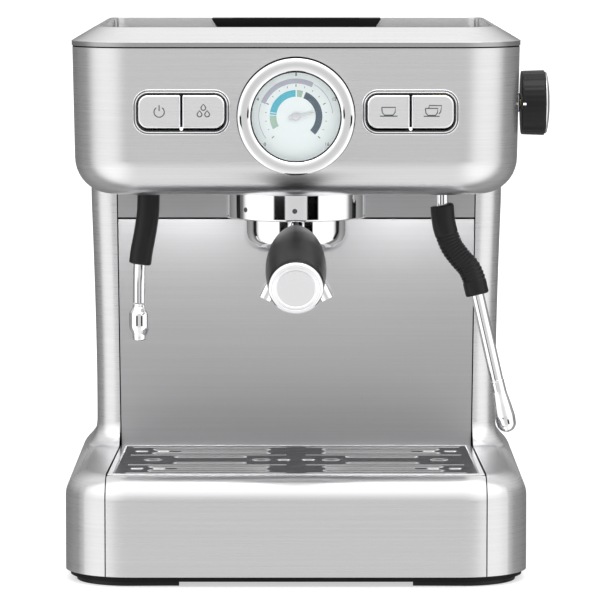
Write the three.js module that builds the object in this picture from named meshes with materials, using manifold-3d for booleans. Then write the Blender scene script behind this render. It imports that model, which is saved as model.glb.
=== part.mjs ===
// Semi-automatic espresso machine with a 58 mm group, a steam wand and a hot water pipe.
// Millimetres, +Z up. +X is the machine's right as its user sees it, and the user stands on the -Y side.
// Shapes are placed on the machine's own middle plane (x = 0) and mid depth (y = 0), standing on z = 0.
// The exported group then shifts them so that its origin is the centre of the whole footprint.
import * as THREE from "three";
import { mergeVertices } from "three/addons/utils/BufferGeometryUtils.js";
import Module from "manifold-3d";

const wasm = await Module();
wasm.setup();

// ---------------------------------------------------------------- driving dimensions
const WALL = 2; // steel casing, with its stiffening folds
const GAP = 0.4; // between pieces that touch
const SEAM = 0.8; // visible joint lines of the casing

const HEAD = { half: 150, front: -143, back: 150, bottom: 260, top: 358.4, corner: 46, fillet: 24 };
const BASE = { half: 155.5, front: -150, back: 150, bottom: 7, top: 74, corner: 46, fillet: 17 };
const COLUMN = { half: 141, front: 24, back: 150, bottom: 62, top: 290, corner: 20 };
const REAR_CORNER = 28;
const RIM = { bottom: 358.8, lip: 362.5, top: 372, slope: 16, land: 3, half: 150.5, front: -143.5, back: 150 };
const SPLASH = { seam: 234, halfTop: 126, halfBottom: 123.8, thick: 1.5 };
const SLOT = { frontHalf: 127.6, backHalf: 124.2 }; // between the side panels, where the drip tray slides
const REAR_OPENING = 129; // half width of the opening that the rear cover closes
const DECK = { back: 50, top: 358.4, thick: 2.4 };

const GROUP = { y: -68, collarRadius: 48, collarBottom: 241.6, bowlRadius: 36 };
const HANDLE = { start: 13.6, length: 108, axisZ: 236, pitch: 16.2 };
const GAUGE = { z: 313.8, radius: 38.6, dial: 30.7, face: 5 };
const BUTTONS = { x: 75.7, z: 316.3, width: 57.4, height: 23.3, corner: 7 };
const KNOB = { y: -75, z: 319.6, radius: 22, inner: 152, outer: 167.8, end: 171.2 };
const WAND = { x: 98.8, y: -75, radius: 4.5, grip: 8 };
const WATER = { x: -100, y: -75, radius: 4.4, grip: 7.6 };
const TANK = { half: 104, front: 66, back: 129, bottom: 130, top: 356.6, wall: 2.5, corner: 14 };
const TRAY = { bottom: 36, top: 69, back: 20, half: 119 };
const HANDLE_END = -216.2; // how far the portafilter's handle reaches forward

// ---------------------------------------------------------------- materials
const finish = (color, roughness, metalness) =>
  new THREE.MeshStandardMaterial({ color, roughness, metalness });
const STEEL = finish(0xc3c1c4, 0.35, 1);
const CHROME = finish(0xf0f0f0, 0.08, 1);
const BLACK = finish(0x161617, 0.45, 0);
const RUBBER = finish(0x1b1b1c, 0.7, 0);
const BRASS = finish(0xb08d4a, 0.35, 1);
const ALUMINIUM = finish(0xa9abad, 0.5, 1);
const DIAL = finish(0xe9f1f2, 0.5, 0);
const GLASS = finish(0xffffff, 0.02, 0);
const SILICONE = finish(0xd9d9d4, 0.5, 0);
const SMOKE = finish(0x565a5e, 0.1, 0);
const BOARD = finish(0x1e5b38, 0.5, 0);
const LAMP = finish(0xffffff, 0.2, 0);

// ---------------------------------------------------------------- solids from three.js geometry
function solid(geometry) {
  const bare = geometry.index ? geometry.toNonIndexed() : geometry.clone();
  const points = new THREE.BufferGeometry().setAttribute("position", bare.getAttribute("position"));
  const merged = mergeVertices(points, 1e-3);
  return new wasm.Manifold(
    new wasm.Mesh({
      numProp: 3,
      vertProperties: merged.attributes.position.array,
      triVerts: new Uint32Array(merged.index.array),
    }),
  );
}

function geometryOf(manifold) {
  const made = manifold.getMesh();
  const geometry = new THREE.BufferGeometry();
  geometry.setAttribute("position", new THREE.BufferAttribute(Float32Array.from(made.vertProperties), 3));
  geometry.setIndex(new THREE.BufferAttribute(Uint32Array.from(made.triVerts), 1));
  geometry.computeVertexNormals();
  return geometry;
}

const union = (...solids) => solids.reduce((a, b) => a.add(b));
const cut = (body, ...tools) => tools.reduce((a, b) => a.subtract(b), body);

// A box between two corners.
function block(x0, x1, y0, y1, z0, z1) {
  const box = new THREE.BoxGeometry(x1 - x0, y1 - y0, z1 - z0);
  return solid(box.translate((x0 + x1) / 2, (y0 + y1) / 2, (z0 + z1) / 2));
}

// A round bar about the axis "x", "y" or "z" through the point (a, b) of the other two axes.
function bar(axis, radius, from, to, a = 0, b = 0, segments = 20) {
  const geometry = new THREE.CylinderGeometry(radius, radius, to - from, segments);
  const middle = (from + to) / 2;
  if (axis === "x") geometry.rotateZ(Math.PI / 2).translate(middle, a, b);
  if (axis === "y") geometry.translate(a, middle, b);
  if (axis === "z") geometry.rotateX(Math.PI / 2).translate(a, b, middle);
  return solid(geometry);
}

// A turned piece about +Z from a profile of [radius, height] points, in either order.
function turned(profile, segments = 32) {
  const points = profile.map(([r, h]) => new THREE.Vector2(r, h));
  if (points[0].x > 0) points.push(points[0].clone());
  const geometry = new THREE.LatheGeometry(points, segments);
  if (solid(geometry).volume() > 0) return geometry.rotateX(Math.PI / 2);
  return new THREE.LatheGeometry(points.reverse(), segments).rotateX(Math.PI / 2);
}

// Turns +Z geometry so that its axis runs along -Y, towards the user.
const faceUser = (geometry) => geometry.rotateX(Math.PI / 2);

// A straight-sided plan from [x, y] corners.
const outline = (corners) => new THREE.Shape(corners.map(([x, y]) => new THREE.Vector2(x, y)));

// A rectangle in plan with its front (-Y) and back (+Y) corners rounded.
function roundedPlan(half, front, back, frontCorner, backCorner = frontCorner) {
  const shape = new THREE.Shape();
  shape.moveTo(-half + frontCorner, front);
  shape.lineTo(half - frontCorner, front);
  shape.absarc(half - frontCorner, front + frontCorner, frontCorner, -Math.PI / 2, 0);
  shape.lineTo(half, back - backCorner);
  shape.absarc(half - backCorner, back - backCorner, backCorner, 0, Math.PI / 2);
  shape.lineTo(-half + backCorner, back);
  shape.absarc(-half + backCorner, back - backCorner, backCorner, Math.PI / 2, Math.PI);
  shape.lineTo(-half, front + frontCorner);
  shape.absarc(-half + frontCorner, front + frontCorner, frontCorner, Math.PI, 1.5 * Math.PI);
  return shape;
}

// An upright prism of a plan shape; each rounded corner of the plan has twice "curve" facets.
function prism(shape, bottom, top, curve = 2, steps = 1) {
  const settings = { depth: top - bottom, steps, curveSegments: curve, bevelEnabled: false };
  return new THREE.ExtrudeGeometry(shape, settings).translate(0, 0, bottom);
}

// A prism whose lower or upper edge is rounded inwards; its other end reaches "thick" beyond its mark.
function softPrism(shape, bottom, top, { at, size, thick, segments }, curve = 3) {
  const geometry = new THREE.ExtrudeGeometry(shape, {
    depth: top - bottom - thick, steps: 1, curveSegments: curve,
    bevelEnabled: true, bevelThickness: thick, bevelSize: size,
    bevelOffset: -size, bevelSegments: segments,
  });
  return geometry.translate(0, 0, at === "bottom" ? bottom + thick : bottom);
}

// Moves every vertex of a geometry by a rule.
function deform(geometry, rule) {
  const position = geometry.getAttribute("position");
  const p = new THREE.Vector3();
  for (let i = 0; i < position.count; i++) {
    rule(p.fromBufferAttribute(position, i));
    position.setXYZ(i, p.x, p.y, p.z);
  }
  return geometry;
}

// A mirror image, with its faces turned back to face out.
function mirrored(geometry, sideX, sideY = 1) {
  const image = (geometry.index ? geometry.toNonIndexed() : geometry.clone()).scale(sideX, sideY, 1);
  if (sideX * sideY > 0) return image;
  const position = image.getAttribute("position");
  const a = new THREE.Vector3();
  const b = new THREE.Vector3();
  for (let i = 0; i < position.count; i += 3) {
    a.fromBufferAttribute(position, i);
    b.fromBufferAttribute(position, i + 1);
    position.setXYZ(i, b.x, b.y, b.z);
    position.setXYZ(i + 1, a.x, a.y, a.z);
  }
  return image;
}

// A round bar along points in space, with twice "sides" facets round.
function tube(points, radius, sides = 5, steps = 14) {
  const path = new THREE.CatmullRomCurve3(points.map((p) => new THREE.Vector3(...p)));
  const section = new THREE.Shape().absarc(0, 0, radius, 0, 2 * Math.PI);
  return solid(new THREE.ExtrudeGeometry(section, { curveSegments: sides, steps, extrudePath: path }));
}

// Places a turned +Z piece at a point, with its axis along a direction.
function aimed(geometry, at, direction) {
  const up = new THREE.Vector3(0, 0, 1);
  const turn = new THREE.Quaternion().setFromUnitVectors(up, new THREE.Vector3(...direction).normalize());
  return geometry.applyQuaternion(turn).translate(...at);
}

const machine = new THREE.Group();

function add(name, shape, material) {
  const geometry = shape.isBufferGeometry ? shape : geometryOf(shape);
  const mesh = new THREE.Mesh(geometry, material);
  mesh.name = name;
  machine.add(mesh);
}

// ---------------------------------------------------------------- casing
// The head is a box with wide upright corners, a rounded lower edge and sides that lean in by 2 mm.
function headBlock(inset, bottom, top) {
  const plan = roundedPlan(HEAD.half - inset, HEAD.front + inset, HEAD.back - inset,
    HEAD.corner - inset, REAR_CORNER - inset);
  const round = HEAD.fillet - inset;
  const geometry = softPrism(plan, bottom, top, { at: "bottom", size: round, thick: round, segments: 3 });
  const drop = (z) => Math.min(1, Math.max(0, (HEAD.top - z) / (HEAD.top - HEAD.bottom)));
  return solid(deform(geometry, (p) => (p.x *= 1 - 0.013 * drop(p.z))));
}

// An upright plate shape facing the user, between two depths, moved by x and z.
function facing(shape, y0, y1, x = 0, z = 0, curve = 2) {
  return prism(shape, 0, y1 - y0, curve).rotateX(Math.PI / 2).translate(x, y1, z);
}

function buttonPlan(grow) {
  const halfHeight = BUTTONS.height / 2 + grow;
  return roundedPlan(BUTTONS.width / 2 + grow, -halfHeight, halfHeight, BUTTONS.corner + grow);
}

function headShell() {
  const front = [HEAD.front - 10, HEAD.front + 10];
  return cut(
    headBlock(0, HEAD.bottom, HEAD.top),
    headBlock(WALL, HEAD.bottom + WALL, HEAD.top + 20),
    block(-200, 200, -200, 200, HEAD.top, HEAD.top + 60),
    block(-REAR_OPENING, REAR_OPENING, 100, 160, 0, HEAD.top + 1),
    block(-134, 134, COLUMN.front + 3, 160, 0, HEAD.bottom + 10),
    bar("y", GAUGE.dial + 1.4, ...front, 0, GAUGE.z, 28),
    solid(facing(buttonPlan(1), ...front, -BUTTONS.x, BUTTONS.z)),
    solid(facing(buttonPlan(1), ...front, BUTTONS.x, BUTTONS.z)),
    bar("x", 4.5, 130, 160, KNOB.y, KNOB.z, 12),
    bar("z", 44.5, HEAD.bottom - 5, HEAD.bottom + 8, 0, GROUP.y, 28),
    bar("z", 6.5, HEAD.bottom - 5, HEAD.bottom + 8, WAND.x, WAND.y, 12),
    bar("z", 9.5, HEAD.bottom - 5, HEAD.bottom + 8, WATER.x, WATER.y, 12),
  );
}

// The notch of the rim's rear side, where the tank lid's grip shows.
function gripShape(clearance) {
  const bottom = RIM.lip + clearance;
  const top = clearance ? RIM.top - clearance : RIM.top + 3;
  const halfAt = (z) => 56 + 0.63 * (z - RIM.lip) - clearance;
  return outline([
    [-halfAt(bottom), bottom], [halfAt(bottom), bottom], [halfAt(top), top], [-halfAt(top), top],
  ]);
}

function topRim() {
  const plan = roundedPlan(RIM.half, RIM.front, RIM.back, HEAD.corner, REAR_CORNER);
  const edge = { at: "top", size: RIM.slope, thick: RIM.top - RIM.lip, segments: 1 };
  const inset = RIM.slope + RIM.land;
  const opening = roundedPlan(RIM.half - inset, RIM.front + inset, RIM.back - inset,
    HEAD.corner - inset, REAR_CORNER - inset);
  return cut(
    solid(softPrism(plan, RIM.bottom, RIM.top, edge)),
    block(-200, 200, -200, 200, RIM.bottom - 20, RIM.bottom),
    solid(prism(opening, 300, 400, 3)),
    solid(facing(gripShape(0), 115, 175)),
  );
}

function cupTray() {
  const plan = roundedPlan(HEAD.half - WALL - 0.8, HEAD.front + WALL + 0.8, DECK.back, HEAD.corner - WALL, 1);
  const slots = [];
  const slotPlan = roundedPlan(42, -2.4, 2.4, 2.3);
  for (let row = 0; row < 5; row++) {
    for (const x of [-56, 56]) {
      slots.push(solid(prism(slotPlan, 350, 364, 1).translate(x, -94 + row * 28, 0)));
    }
  }
  return cut(solid(prism(plan, DECK.top - DECK.thick, DECK.top, 3)), ...slots);
}

// The column narrows downwards, then runs into the base with a hollow curve on its sides and front.
const FLARE = { top: 91, sideRadius: 30, sideDepth: 22, frontRadius: 17 };
const hollow = (radius, drop) => radius - Math.sqrt(radius ** 2 - drop ** 2);
function columnBlock(inset) {
  const plan = roundedPlan(COLUMN.half - inset, COLUMN.front + inset, COLUMN.back - inset,
    COLUMN.corner - inset, REAR_CORNER - inset);
  const top = COLUMN.top + (inset ? 10 : 0);
  const steps = { all: 10, flare: 6 };
  const level = (z) => {
    const step = (steps.all * (z - COLUMN.bottom)) / (top - COLUMN.bottom);
    if (step < steps.flare) return COLUMN.bottom + ((FLARE.top - COLUMN.bottom) * step) / steps.flare;
    return FLARE.top + ((top - FLARE.top) * (step - steps.flare)) / (steps.all - steps.flare);
  };
  const drop = (z, most) => Math.min(most, Math.max(0, FLARE.top - z));
  const widen = (z) => 3.6 * Math.min(1, Math.max(0, (z - 110) / 140)) ** 1.5;
  return solid(deform(prism(plan, COLUMN.bottom, top, 3, steps.all), (p) => {
    p.z = level(p.z);
    const outwards = hollow(FLARE.sideRadius, drop(p.z, FLARE.sideDepth)) + widen(p.z);
    p.x += Math.sign(p.x) * outwards * Math.min(1, Math.abs(p.x) / 100);
    if (p.y < 60) p.y -= hollow(FLARE.frontRadius, drop(p.z, FLARE.frontRadius));
  }));
}

function baseBlock(inset, bottom = BASE.bottom) {
  const plan = roundedPlan(BASE.half - inset, BASE.front + inset, BASE.back - inset,
    BASE.corner - inset, REAR_CORNER - inset);
  const round = BASE.fillet - inset;
  const edge = { at: "top", size: round, thick: round, segments: 4 };
  const body = solid(softPrism(plan, bottom, BASE.top - inset, edge));
  return cut(body, block(-200, 200, -200, 200, bottom - 40, bottom));
}

// The space between the two side panels that the drip tray slides in, seen from above.
function traySlot(clearance, bottom, top) {
  const slope = (SLOT.backHalf - SLOT.frontHalf) / (COLUMN.front - BASE.front);
  const halfAt = (y) => SLOT.frontHalf + slope * (y - BASE.front) - clearance;
  const y0 = BASE.front - 20;
  const y1 = COLUMN.front - clearance;
  const corners = [[-halfAt(y0), y0], [halfAt(y0), y0], [halfAt(y1), y1], [-halfAt(y1), y1]];
  return solid(prism(outline(corners), bottom, top));
}

// The splash area between the columns, seen from the front.
function splashArea(clearance, z0, z1, y0, y1) {
  const halfAt = (z) => {
    const t = (z - BASE.top) / (HEAD.bottom - BASE.top);
    return SPLASH.halfBottom + t * (SPLASH.halfTop - SPLASH.halfBottom) - clearance;
  };
  const corners = [[-halfAt(z0), z0], [halfAt(z0), z0], [halfAt(z1), z1], [-halfAt(z1), z1]];
  return solid(facing(outline(corners), y0, y1));
}

function sidePanel() {
  const outer = union(baseBlock(0), columnBlock(0));
  const inner = union(baseBlock(WALL, BASE.bottom - 10), columnBlock(WALL));
  const shell = cut(
    outer,
    inner,
    traySlot(0, 0, 120),
    splashArea(0, BASE.top - 4, HEAD.bottom + 10, COLUMN.front - 30, COLUMN.front + 8),
    block(-REAR_OPENING, REAR_OPENING, 100, 160, 0, 300),
    headBlock(-GAP, HEAD.bottom - GAP, HEAD.top),
  );
  return shell.intersect(block(20, 200, -200, 200, 0, 400));
}

function rearCover() {
  const half = REAR_OPENING - GAP;
  const vents = [];
  for (let row = 0; row < 5; row++) {
    for (const x of [-52, 52]) {
      vents.push(block(x - 34, x + 34, 140, 155, 60 + row * 12, 64 + row * 12));
    }
  }
  const cordHole = bar("y", 7.5, 140, 155, 95, 34, 16);
  return cut(block(-half, half, 147, 149.6, 14, RIM.bottom - GAP), ...vents, cordHole);
}

function innerFrame() {
  const shelf = block(-127, 127, 30, 140, 121, 124);
  return cut(
    union(
      block(-127, 127, 28, 30.5, 20, 256),
      shelf,
      block(-127, -124.5, 30, 140, 20, 256),
      block(124.5, 127, 30, 140, 20, 256),
    ),
    bar("z", 7, 110, 130, 0, 97, 12),
    bar("z", 6, 110, 130, 88, 46, 12),
  );
}

function basePan() {
  const plan = roundedPlan(BASE.half - 3.5, BASE.front + 3.5, BASE.back - 3.5, BASE.corner - 3, REAR_CORNER - 3);
  const edge = { at: "bottom", size: 6, thick: 3, segments: 2 };
  const floor = cut(solid(softPrism(plan, 3.4, 6.6, edge, 2)), block(-200, 200, -200, 200, 6.6, 40));
  const walls = cut(
    solid(prism(roundedPlan(BASE.half - 5, BASE.front + 42, BASE.back - 5, 20), 6, 18)),
    solid(prism(roundedPlan(BASE.half - 8, BASE.front + 45, BASE.back - 8, 17), 6, 30)),
    block(-128, 128, -200, 0, 6.6, 40),
  );
  return union(floor, walls);
}

// The foot under the rear right corner; the others are its mirror images.
function foot() {
  const shape = new THREE.Shape();
  shape.moveTo(92, 100);
  shape.lineTo(78, 141);
  shape.lineTo(110, 141);
  shape.absarc(112, 106, 36, Math.PI / 2, 0.1, true);
  shape.lineTo(148, 100);
  return prism(shape, 0, 3, 3);
}

add("head_shell", headShell(), STEEL);
add("top_rim", topRim(), STEEL);
add("cup_tray", cupTray(), STEEL);
const rightPanel = geometryOf(sidePanel());
add("side_panel_right", rightPanel, STEEL);
add("side_panel_left", mirrored(rightPanel, -1), STEEL);
const splashDepth = [COLUMN.front, COLUMN.front + SPLASH.thick];
add("splash_panel", splashArea(SEAM, BASE.top - 2, SPLASH.seam - 0.6, ...splashDepth), STEEL);
add("upper_panel", splashArea(SEAM, SPLASH.seam + 0.6, HEAD.bottom - GAP, ...splashDepth), STEEL);
add("rear_cover", rearCover(), STEEL);
add("inner_frame", innerFrame(), BLACK);
add("base_pan", basePan(), BLACK);
add("foot_front_left", mirrored(foot(), -1, -1), RUBBER);
add("foot_front_right", mirrored(foot(), 1, -1), RUBBER);
add("foot_rear_left", mirrored(foot(), -1, 1), RUBBER);
add("foot_rear_right", foot(), RUBBER);
add("cord_gland", cut(
  union(bar("y", 7, 144, 150.5, 95, 34, 16), bar("y", 9.5, 150, 150.8, 95, 34, 16)),
  bar("y", 3.6, 140, 160, 95, 34, 12),
), RUBBER);

// ---------------------------------------------------------------- drip tray and grid
function trayFront() {
  const shell = cut(baseBlock(0), baseBlock(WALL, BASE.bottom - 10));
  return cut(
    shell.intersect(traySlot(SEAM, BASE.bottom, 100)),
    block(-200, 200, BASE.front + BASE.fillet - 1.5, 200, 0, 100),
  );
}

function dripTray() {
  const { bottom, top, back, half } = TRAY;
  const front = -140;
  const wall = 2.4;
  const bin = solid(prism(roundedPlan(half, front, back, 12, 8), bottom, top));
  const hollow = roundedPlan(half - wall, front + wall, back - wall, 10, 6);
  const bracket = block(-90, 90, -147.6, -139, 38, 52);
  const ledge = cut(
    solid(prism(roundedPlan(half, -130, back, 10, 8), top - 5, top - 2)),
    solid(prism(roundedPlan(half - 7, -123, back - 7, 6, 4), top - 8, top)),
  );
  return union(cut(bin, solid(prism(hollow, bottom + wall, top + 9))), bracket, ledge);
}

// Openings of the grid, mirrored left and right: rows of long slots round a cluster of ovals.
function gridOpenings() {
  const made = [];
  const slot = (x0, x1, y, half) => {
    for (const side of [-1, 1]) {
      const plan = roundedPlan((x1 - x0) / 2, -half, half, half * 0.95);
      made.push(solid(prism(plan, 60, 80, 1).translate((side * (x0 + x1)) / 2, y, 0)));
    }
  };
  for (const y of [-112, -92, -20, 0]) slot(18, 100, y, 3.4);
  for (const y of [-72, -40]) slot(34, 84, y, 3.4);
  for (const x of [18, 92]) slot(x, x + 12, -56, 4.6);
  return made;
}

function dripGrid() {
  const half = { front: 126, back: 123.2 };
  const [front, back] = [BASE.front + BASE.fillet - 1, COLUMN.front - 0.8];
  const plan = outline([[-half.front, front], [half.front, front], [half.back, back], [-half.back, back]]);
  const skirt = cut(
    solid(prism(roundedPlan(TRAY.half - 3.2, -128, TRAY.back - 3.2, 9, 5), 67.6, 73.4, 1)),
    solid(prism(roundedPlan(TRAY.half - 5, -126.2, TRAY.back - 5, 7.2, 3.2), 60, 80, 1)),
  );
  return cut(union(solid(prism(plan, 72.8, 74.3)), skirt), ...gridOpenings());
}

add("drip_tray_front", trayFront(), STEEL);
add("drip_tray", dripTray(), BLACK);
add("drip_grid", dripGrid(), STEEL);

// ---------------------------------------------------------------- pressure gauge
function onGauge(profile, segments) {
  return faceUser(turned(profile, segments)).translate(0, HEAD.front, GAUGE.z);
}

add("gauge_bezel", onGauge([
  [GAUGE.dial + 0.8, GAP], [GAUGE.radius, GAP], [GAUGE.radius, 9.4], [GAUGE.radius - 1, 11.8],
  [GAUGE.radius - 3.4, 13], [GAUGE.dial + 2.2, 12.4], [GAUGE.dial + 0.8, 10.6],
], 32), CHROME);
add("gauge_case", onGauge([
  [0, -30], [GAUGE.dial - 4, -30], [GAUGE.dial + 0.2, -26], [GAUGE.dial + 0.2, 3.6], [0, 3.6],
], 24), BLACK);
add("gauge_dial", onGauge([
  [0, GAUGE.face - 1], [GAUGE.dial, GAUGE.face - 1], [GAUGE.dial, GAUGE.face], [0, GAUGE.face],
], 28), DIAL);
add("gauge_lens", onGauge([
  [0, 9.2], [GAUGE.dial, 9.2], [GAUGE.dial, 10.2], [GAUGE.dial - 8, 11], [0, 11.3],
], 28), GLASS);

function gaugeNeedle() {
  const blade = prism(outline([[-6, -1.3], [15, -0.5], [17.5, 0], [15, 0.5], [-6, 1.3]]), 0.6, 1.4);
  const pointer = geometryOf(union(solid(blade), bar("z", 2.6, 0.2, 1.8, 0, 0, 16)));
  const reading = THREE.MathUtils.degToRad(13); // above the horizontal, to the right
  const face = HEAD.front - GAUGE.face - GAP;
  return faceUser(pointer.rotateZ(reading)).translate(0, face, GAUGE.z);
}
add("gauge_needle", gaugeNeedle(), ALUMINIUM);

// ---------------------------------------------------------------- push buttons
function buttonFrame(side) {
  const depths = [HEAD.front - 1.8, HEAD.front - GAP];
  return cut(
    solid(facing(buttonPlan(3.4), ...depths, side * BUTTONS.x, BUTTONS.z)),
    solid(facing(buttonPlan(0.5), HEAD.front - 5, HEAD.front + 5, side * BUTTONS.x, BUTTONS.z)),
  );
}

function button(side, onRight) {
  const centre = side * BUTTONS.x;
  const cap = solid(facing(buttonPlan(0), HEAD.front - 3.2, HEAD.front + 5, centre, BUTTONS.z));
  const [from, to] = onRight ? [centre + 0.45, centre + 60] : [centre - 60, centre - 0.45];
  const lampNotch = bar("y", 1.7, -160, -130, centre, BUTTONS.z - BUTTONS.height / 2 + 0.4, 10);
  return cut(cap.intersect(block(from, to, -160, -100, 250, 370)), lampNotch);
}

for (const [side, word] of [[-1, "left"], [1, "right"]]) {
  const lampZ = BUTTONS.z - BUTTONS.height / 2 + 0.7;
  add("button_frame_" + word, buttonFrame(side), CHROME);
  add("indicator_lamp_" + word, bar("y", 1.1, HEAD.front - 2.4, HEAD.front + 8, side * BUTTONS.x, lampZ, 10), LAMP);
}
add("power_button", button(-1, false), STEEL);
add("manual_brew_button", button(-1, true), STEEL);
add("single_cup_button", button(1, false), STEEL);
add("double_cup_button", button(1, true), STEEL);

// ---------------------------------------------------------------- steam knob and valve
const alongX = (geometry) => geometry.rotateY(Math.PI / 2).translate(0, KNOB.y, KNOB.z);
add("steam_knob", alongX(turned([
  [0, 162], [3.3, 162], [3.3, KNOB.inner], [KNOB.radius - 1, KNOB.inner], [KNOB.radius, KNOB.inner + 1],
  [KNOB.radius, KNOB.outer - 0.6], [KNOB.radius - 0.6, KNOB.outer], [0, KNOB.outer],
], 28)), BLACK);
add("knob_cap", alongX(turned([
  [0, KNOB.outer + GAP], [KNOB.radius - 0.8, KNOB.outer + GAP], [KNOB.radius - 2, KNOB.outer + 1.6],
  [KNOB.radius - 9, KNOB.end - 0.6], [0, KNOB.end],
], 28)), CHROME);
add("valve_spindle", bar("x", 2.9, 119, 161.4, KNOB.y, KNOB.z, 12), BRASS);
add("steam_valve", cut(
  union(
    bar("x", 12, 92, 125, KNOB.y, KNOB.z, 16),
    bar("z", 6, 292, 310, WAND.x, KNOB.y, 12),
    bar("x", 15, 119, 123, KNOB.y, KNOB.z, 6),
  ),
  bar("x", 3.3, 117, 130, KNOB.y, KNOB.z, 12),
), BRASS);

// ---------------------------------------------------------------- group head and portafilter
const onGroup = (geometry) => geometry.translate(0, GROUP.y, 0);
const LUG = { bottom: 245.2, top: 249, radius: 43.2, width: THREE.MathUtils.degToRad(30) };
const LUG_ANGLES = [0, 1, 2].map((i) => Math.PI / 2 + (i * 2 * Math.PI) / 3);
const INSERT_TURN = THREE.MathUtils.degToRad(-45);

// A slice of a disc about the group's axis.
function sector(radius, bottom, top, angle, width) {
  const shape = new THREE.Shape();
  shape.moveTo(0, 0);
  shape.lineTo(radius * Math.cos(angle - width / 2), radius * Math.sin(angle - width / 2));
  shape.absarc(0, 0, radius, angle - width / 2, angle + width / 2);
  return solid(onGroup(prism(shape, bottom, top)));
}

function groupCollar() {
  const bottom = GROUP.collarBottom;
  const r = GROUP.collarRadius;
  const ring = solid(onGroup(turned([
    [37, bottom], [r - 1.4, bottom], [r, bottom + 1.4], [r, HEAD.bottom - GAP],
    [44.4, HEAD.bottom - GAP], [44.4, bottom + 3.2], [37, bottom + 3.2],
  ], 32)));
  const entries = LUG_ANGLES.map((angle) =>
    sector(LUG.radius + 0.6, bottom - 2, bottom + 5, angle + INSERT_TURN, LUG.width * 1.25));
  return cut(ring, ...entries);
}

add("group_collar", groupCollar(), CHROME);
add("group_head", onGroup(turned([
  [0, 254.2], [43.6, 254.2], [43.6, 265.6], [38, 265.6], [38, 269.6], [0, 269.6],
], 24)), ALUMINIUM);
add("group_gasket", onGroup(turned([[31, 250.5], [37, 250.5], [37, 253.8], [31, 253.8]], 24)), RUBBER);
add("shower_screen", onGroup(turned([
  [0, 247], [28.4, 247], [28.4, 253.8], [24, 253.8], [24, 249.6], [0, 249.6],
], 24)), STEEL);

// The handle's axis starts at the bowl and slopes down towards the user.
function alongHandle(geometry) {
  const pitch = THREE.MathUtils.degToRad(HANDLE.pitch);
  return faceUser(geometry).rotateX(pitch).translate(0, GROUP.y - GROUP.bowlRadius, HANDLE.axisZ);
}

function portafilterBowl() {
  const r = GROUP.bowlRadius;
  const cup = solid(onGroup(turned([
    [0, 214], [10, 214], [12, 216.4], [24, 218.4], [31, 221.5], [35, 226.5], [r, 231.5], [r, LUG.top],
    [30.6, LUG.top], [30.6, 229], [28.6, 224.8], [25, 221.8], [0, 219.8],
  ], 32)));
  const inside = bar("z", 31.5, 200, 260, 0, GROUP.y, 24);
  const lugs = LUG_ANGLES.map((angle) => cut(sector(LUG.radius, LUG.bottom, LUG.top, angle, LUG.width), inside));
  const neck = cut(solid(alongHandle(turned([[0, -6], [5.6, -6], [5.6, 22], [0, 22]], 16))), inside);
  return cut(union(cup, ...lugs, neck), bar("z", 3.6, 200, 230, 0, GROUP.y, 12));
}

function portafilterHandle() {
  return alongHandle(turned([
    [6, HANDLE.start], [8.4, HANDLE.start], [9.6, 18], [12.8, 27], [16, 38], [18.6, 52], [20, 68], [19.9, 84],
    [18.8, 98], [17.7, HANDLE.length], [0, HANDLE.length], [0, 22.4], [6, 22.4],
  ], 24));
}

add("portafilter_bowl", portafilterBowl(), CHROME);
add("filter_basket", onGroup(turned([
  [0, 223.2], [25.5, 223.2], [28.2, 226.4], [30.1, 233], [30.1, 249.4], [34, 249.4], [34, 250.2],
  [29.2, 250.2], [29.2, 233], [27.4, 227], [25, 224.2], [0, 224.2],
], 24)), STEEL);
add("portafilter_handle", portafilterHandle(), BLACK);
add("handle_cap", alongHandle(turned([
  [0, HANDLE.length + GAP], [17.4, HANDLE.length + GAP], [17.5, HANDLE.length + 2.8], [16.2, HANDLE.length + 4.2],
  [14, HANDLE.length + 4.2], [12.6, HANDLE.length + 3], [0, HANDLE.length + 3],
], 24)), CHROME);

// A hub with two arms that bow outwards and end over the two cups.
function twinSpout() {
  const y = GROUP.y;
  const arm = (side, radius, end) => tube(
    [[0, 204], [7, 203.5], [14, 200], [19.4, 193.5], [20.6, end]].map(([x, z]) => [side * x, y, z]), radius, 4, 5);
  const hub = union(bar("z", 9.4, 200, 213.6, 0, y, 20), bar("z", 7.4, 196, 201, 0, y, 20));
  return cut(
    union(hub, arm(-1, 5.6, 183.4), arm(1, 5.6, 183.4)),
    arm(-1, 3.8, 182),
    arm(1, 3.8, 182),
    bar("z", 3.4, 201, 216, 0, y, 12),
  );
}
add("twin_spout", twinSpout(), CHROME);

// ---------------------------------------------------------------- steam wand, on the right
const steamPath = (points) => points.map(([x, dy, z]) => [x, WAND.y + dy, z]);
const steamBend = steamPath([
  [98.8, 0, 270], [98.8, 0, 258], [99, 0, 249], [99.8, 0, 240], [101.6, 0, 232], [105.4, -0.5, 222.4],
  [111.2, -1.5, 214.4], [117, -2.6, 207.8], [120.2, -3.6, 201], [121.9, -4.4, 194], [126.4, -6, 174.4],
  [132, -8, 150], [137.4, -10, 126],
]);
const steamSleeve = [...steamPath([[98.8, 0, 250.5]]), ...steamBend.slice(2, 10), ...steamPath([[123, -4.8, 189.4]])];
add("steam_wand_tube", tube(steamBend, WAND.radius, 4, 16), CHROME);
add("steam_wand_grip", cut(
  tube(steamSleeve, WAND.grip, 5, 9),
  tube(steamBend, WAND.radius + 0.9, 4, 16),
), RUBBER);
add("steam_wand_tip", aimed(turned([
  [0, 0.5], [4.7, 0.5], [4.8, 7], [6.2, 13], [6.9, 20], [6.2, 26], [3.6, 29], [0, 30],
], 16), steamBend.at(-1), [5.4, -2, -24]), CHROME);
add("wand_nut", cut(
  bar("z", 9.5, 262.6, 276, WAND.x, WAND.y, 6),
  bar("z", 5.2, 262, 271, WAND.x, WAND.y, 12),
), BRASS);

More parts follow.
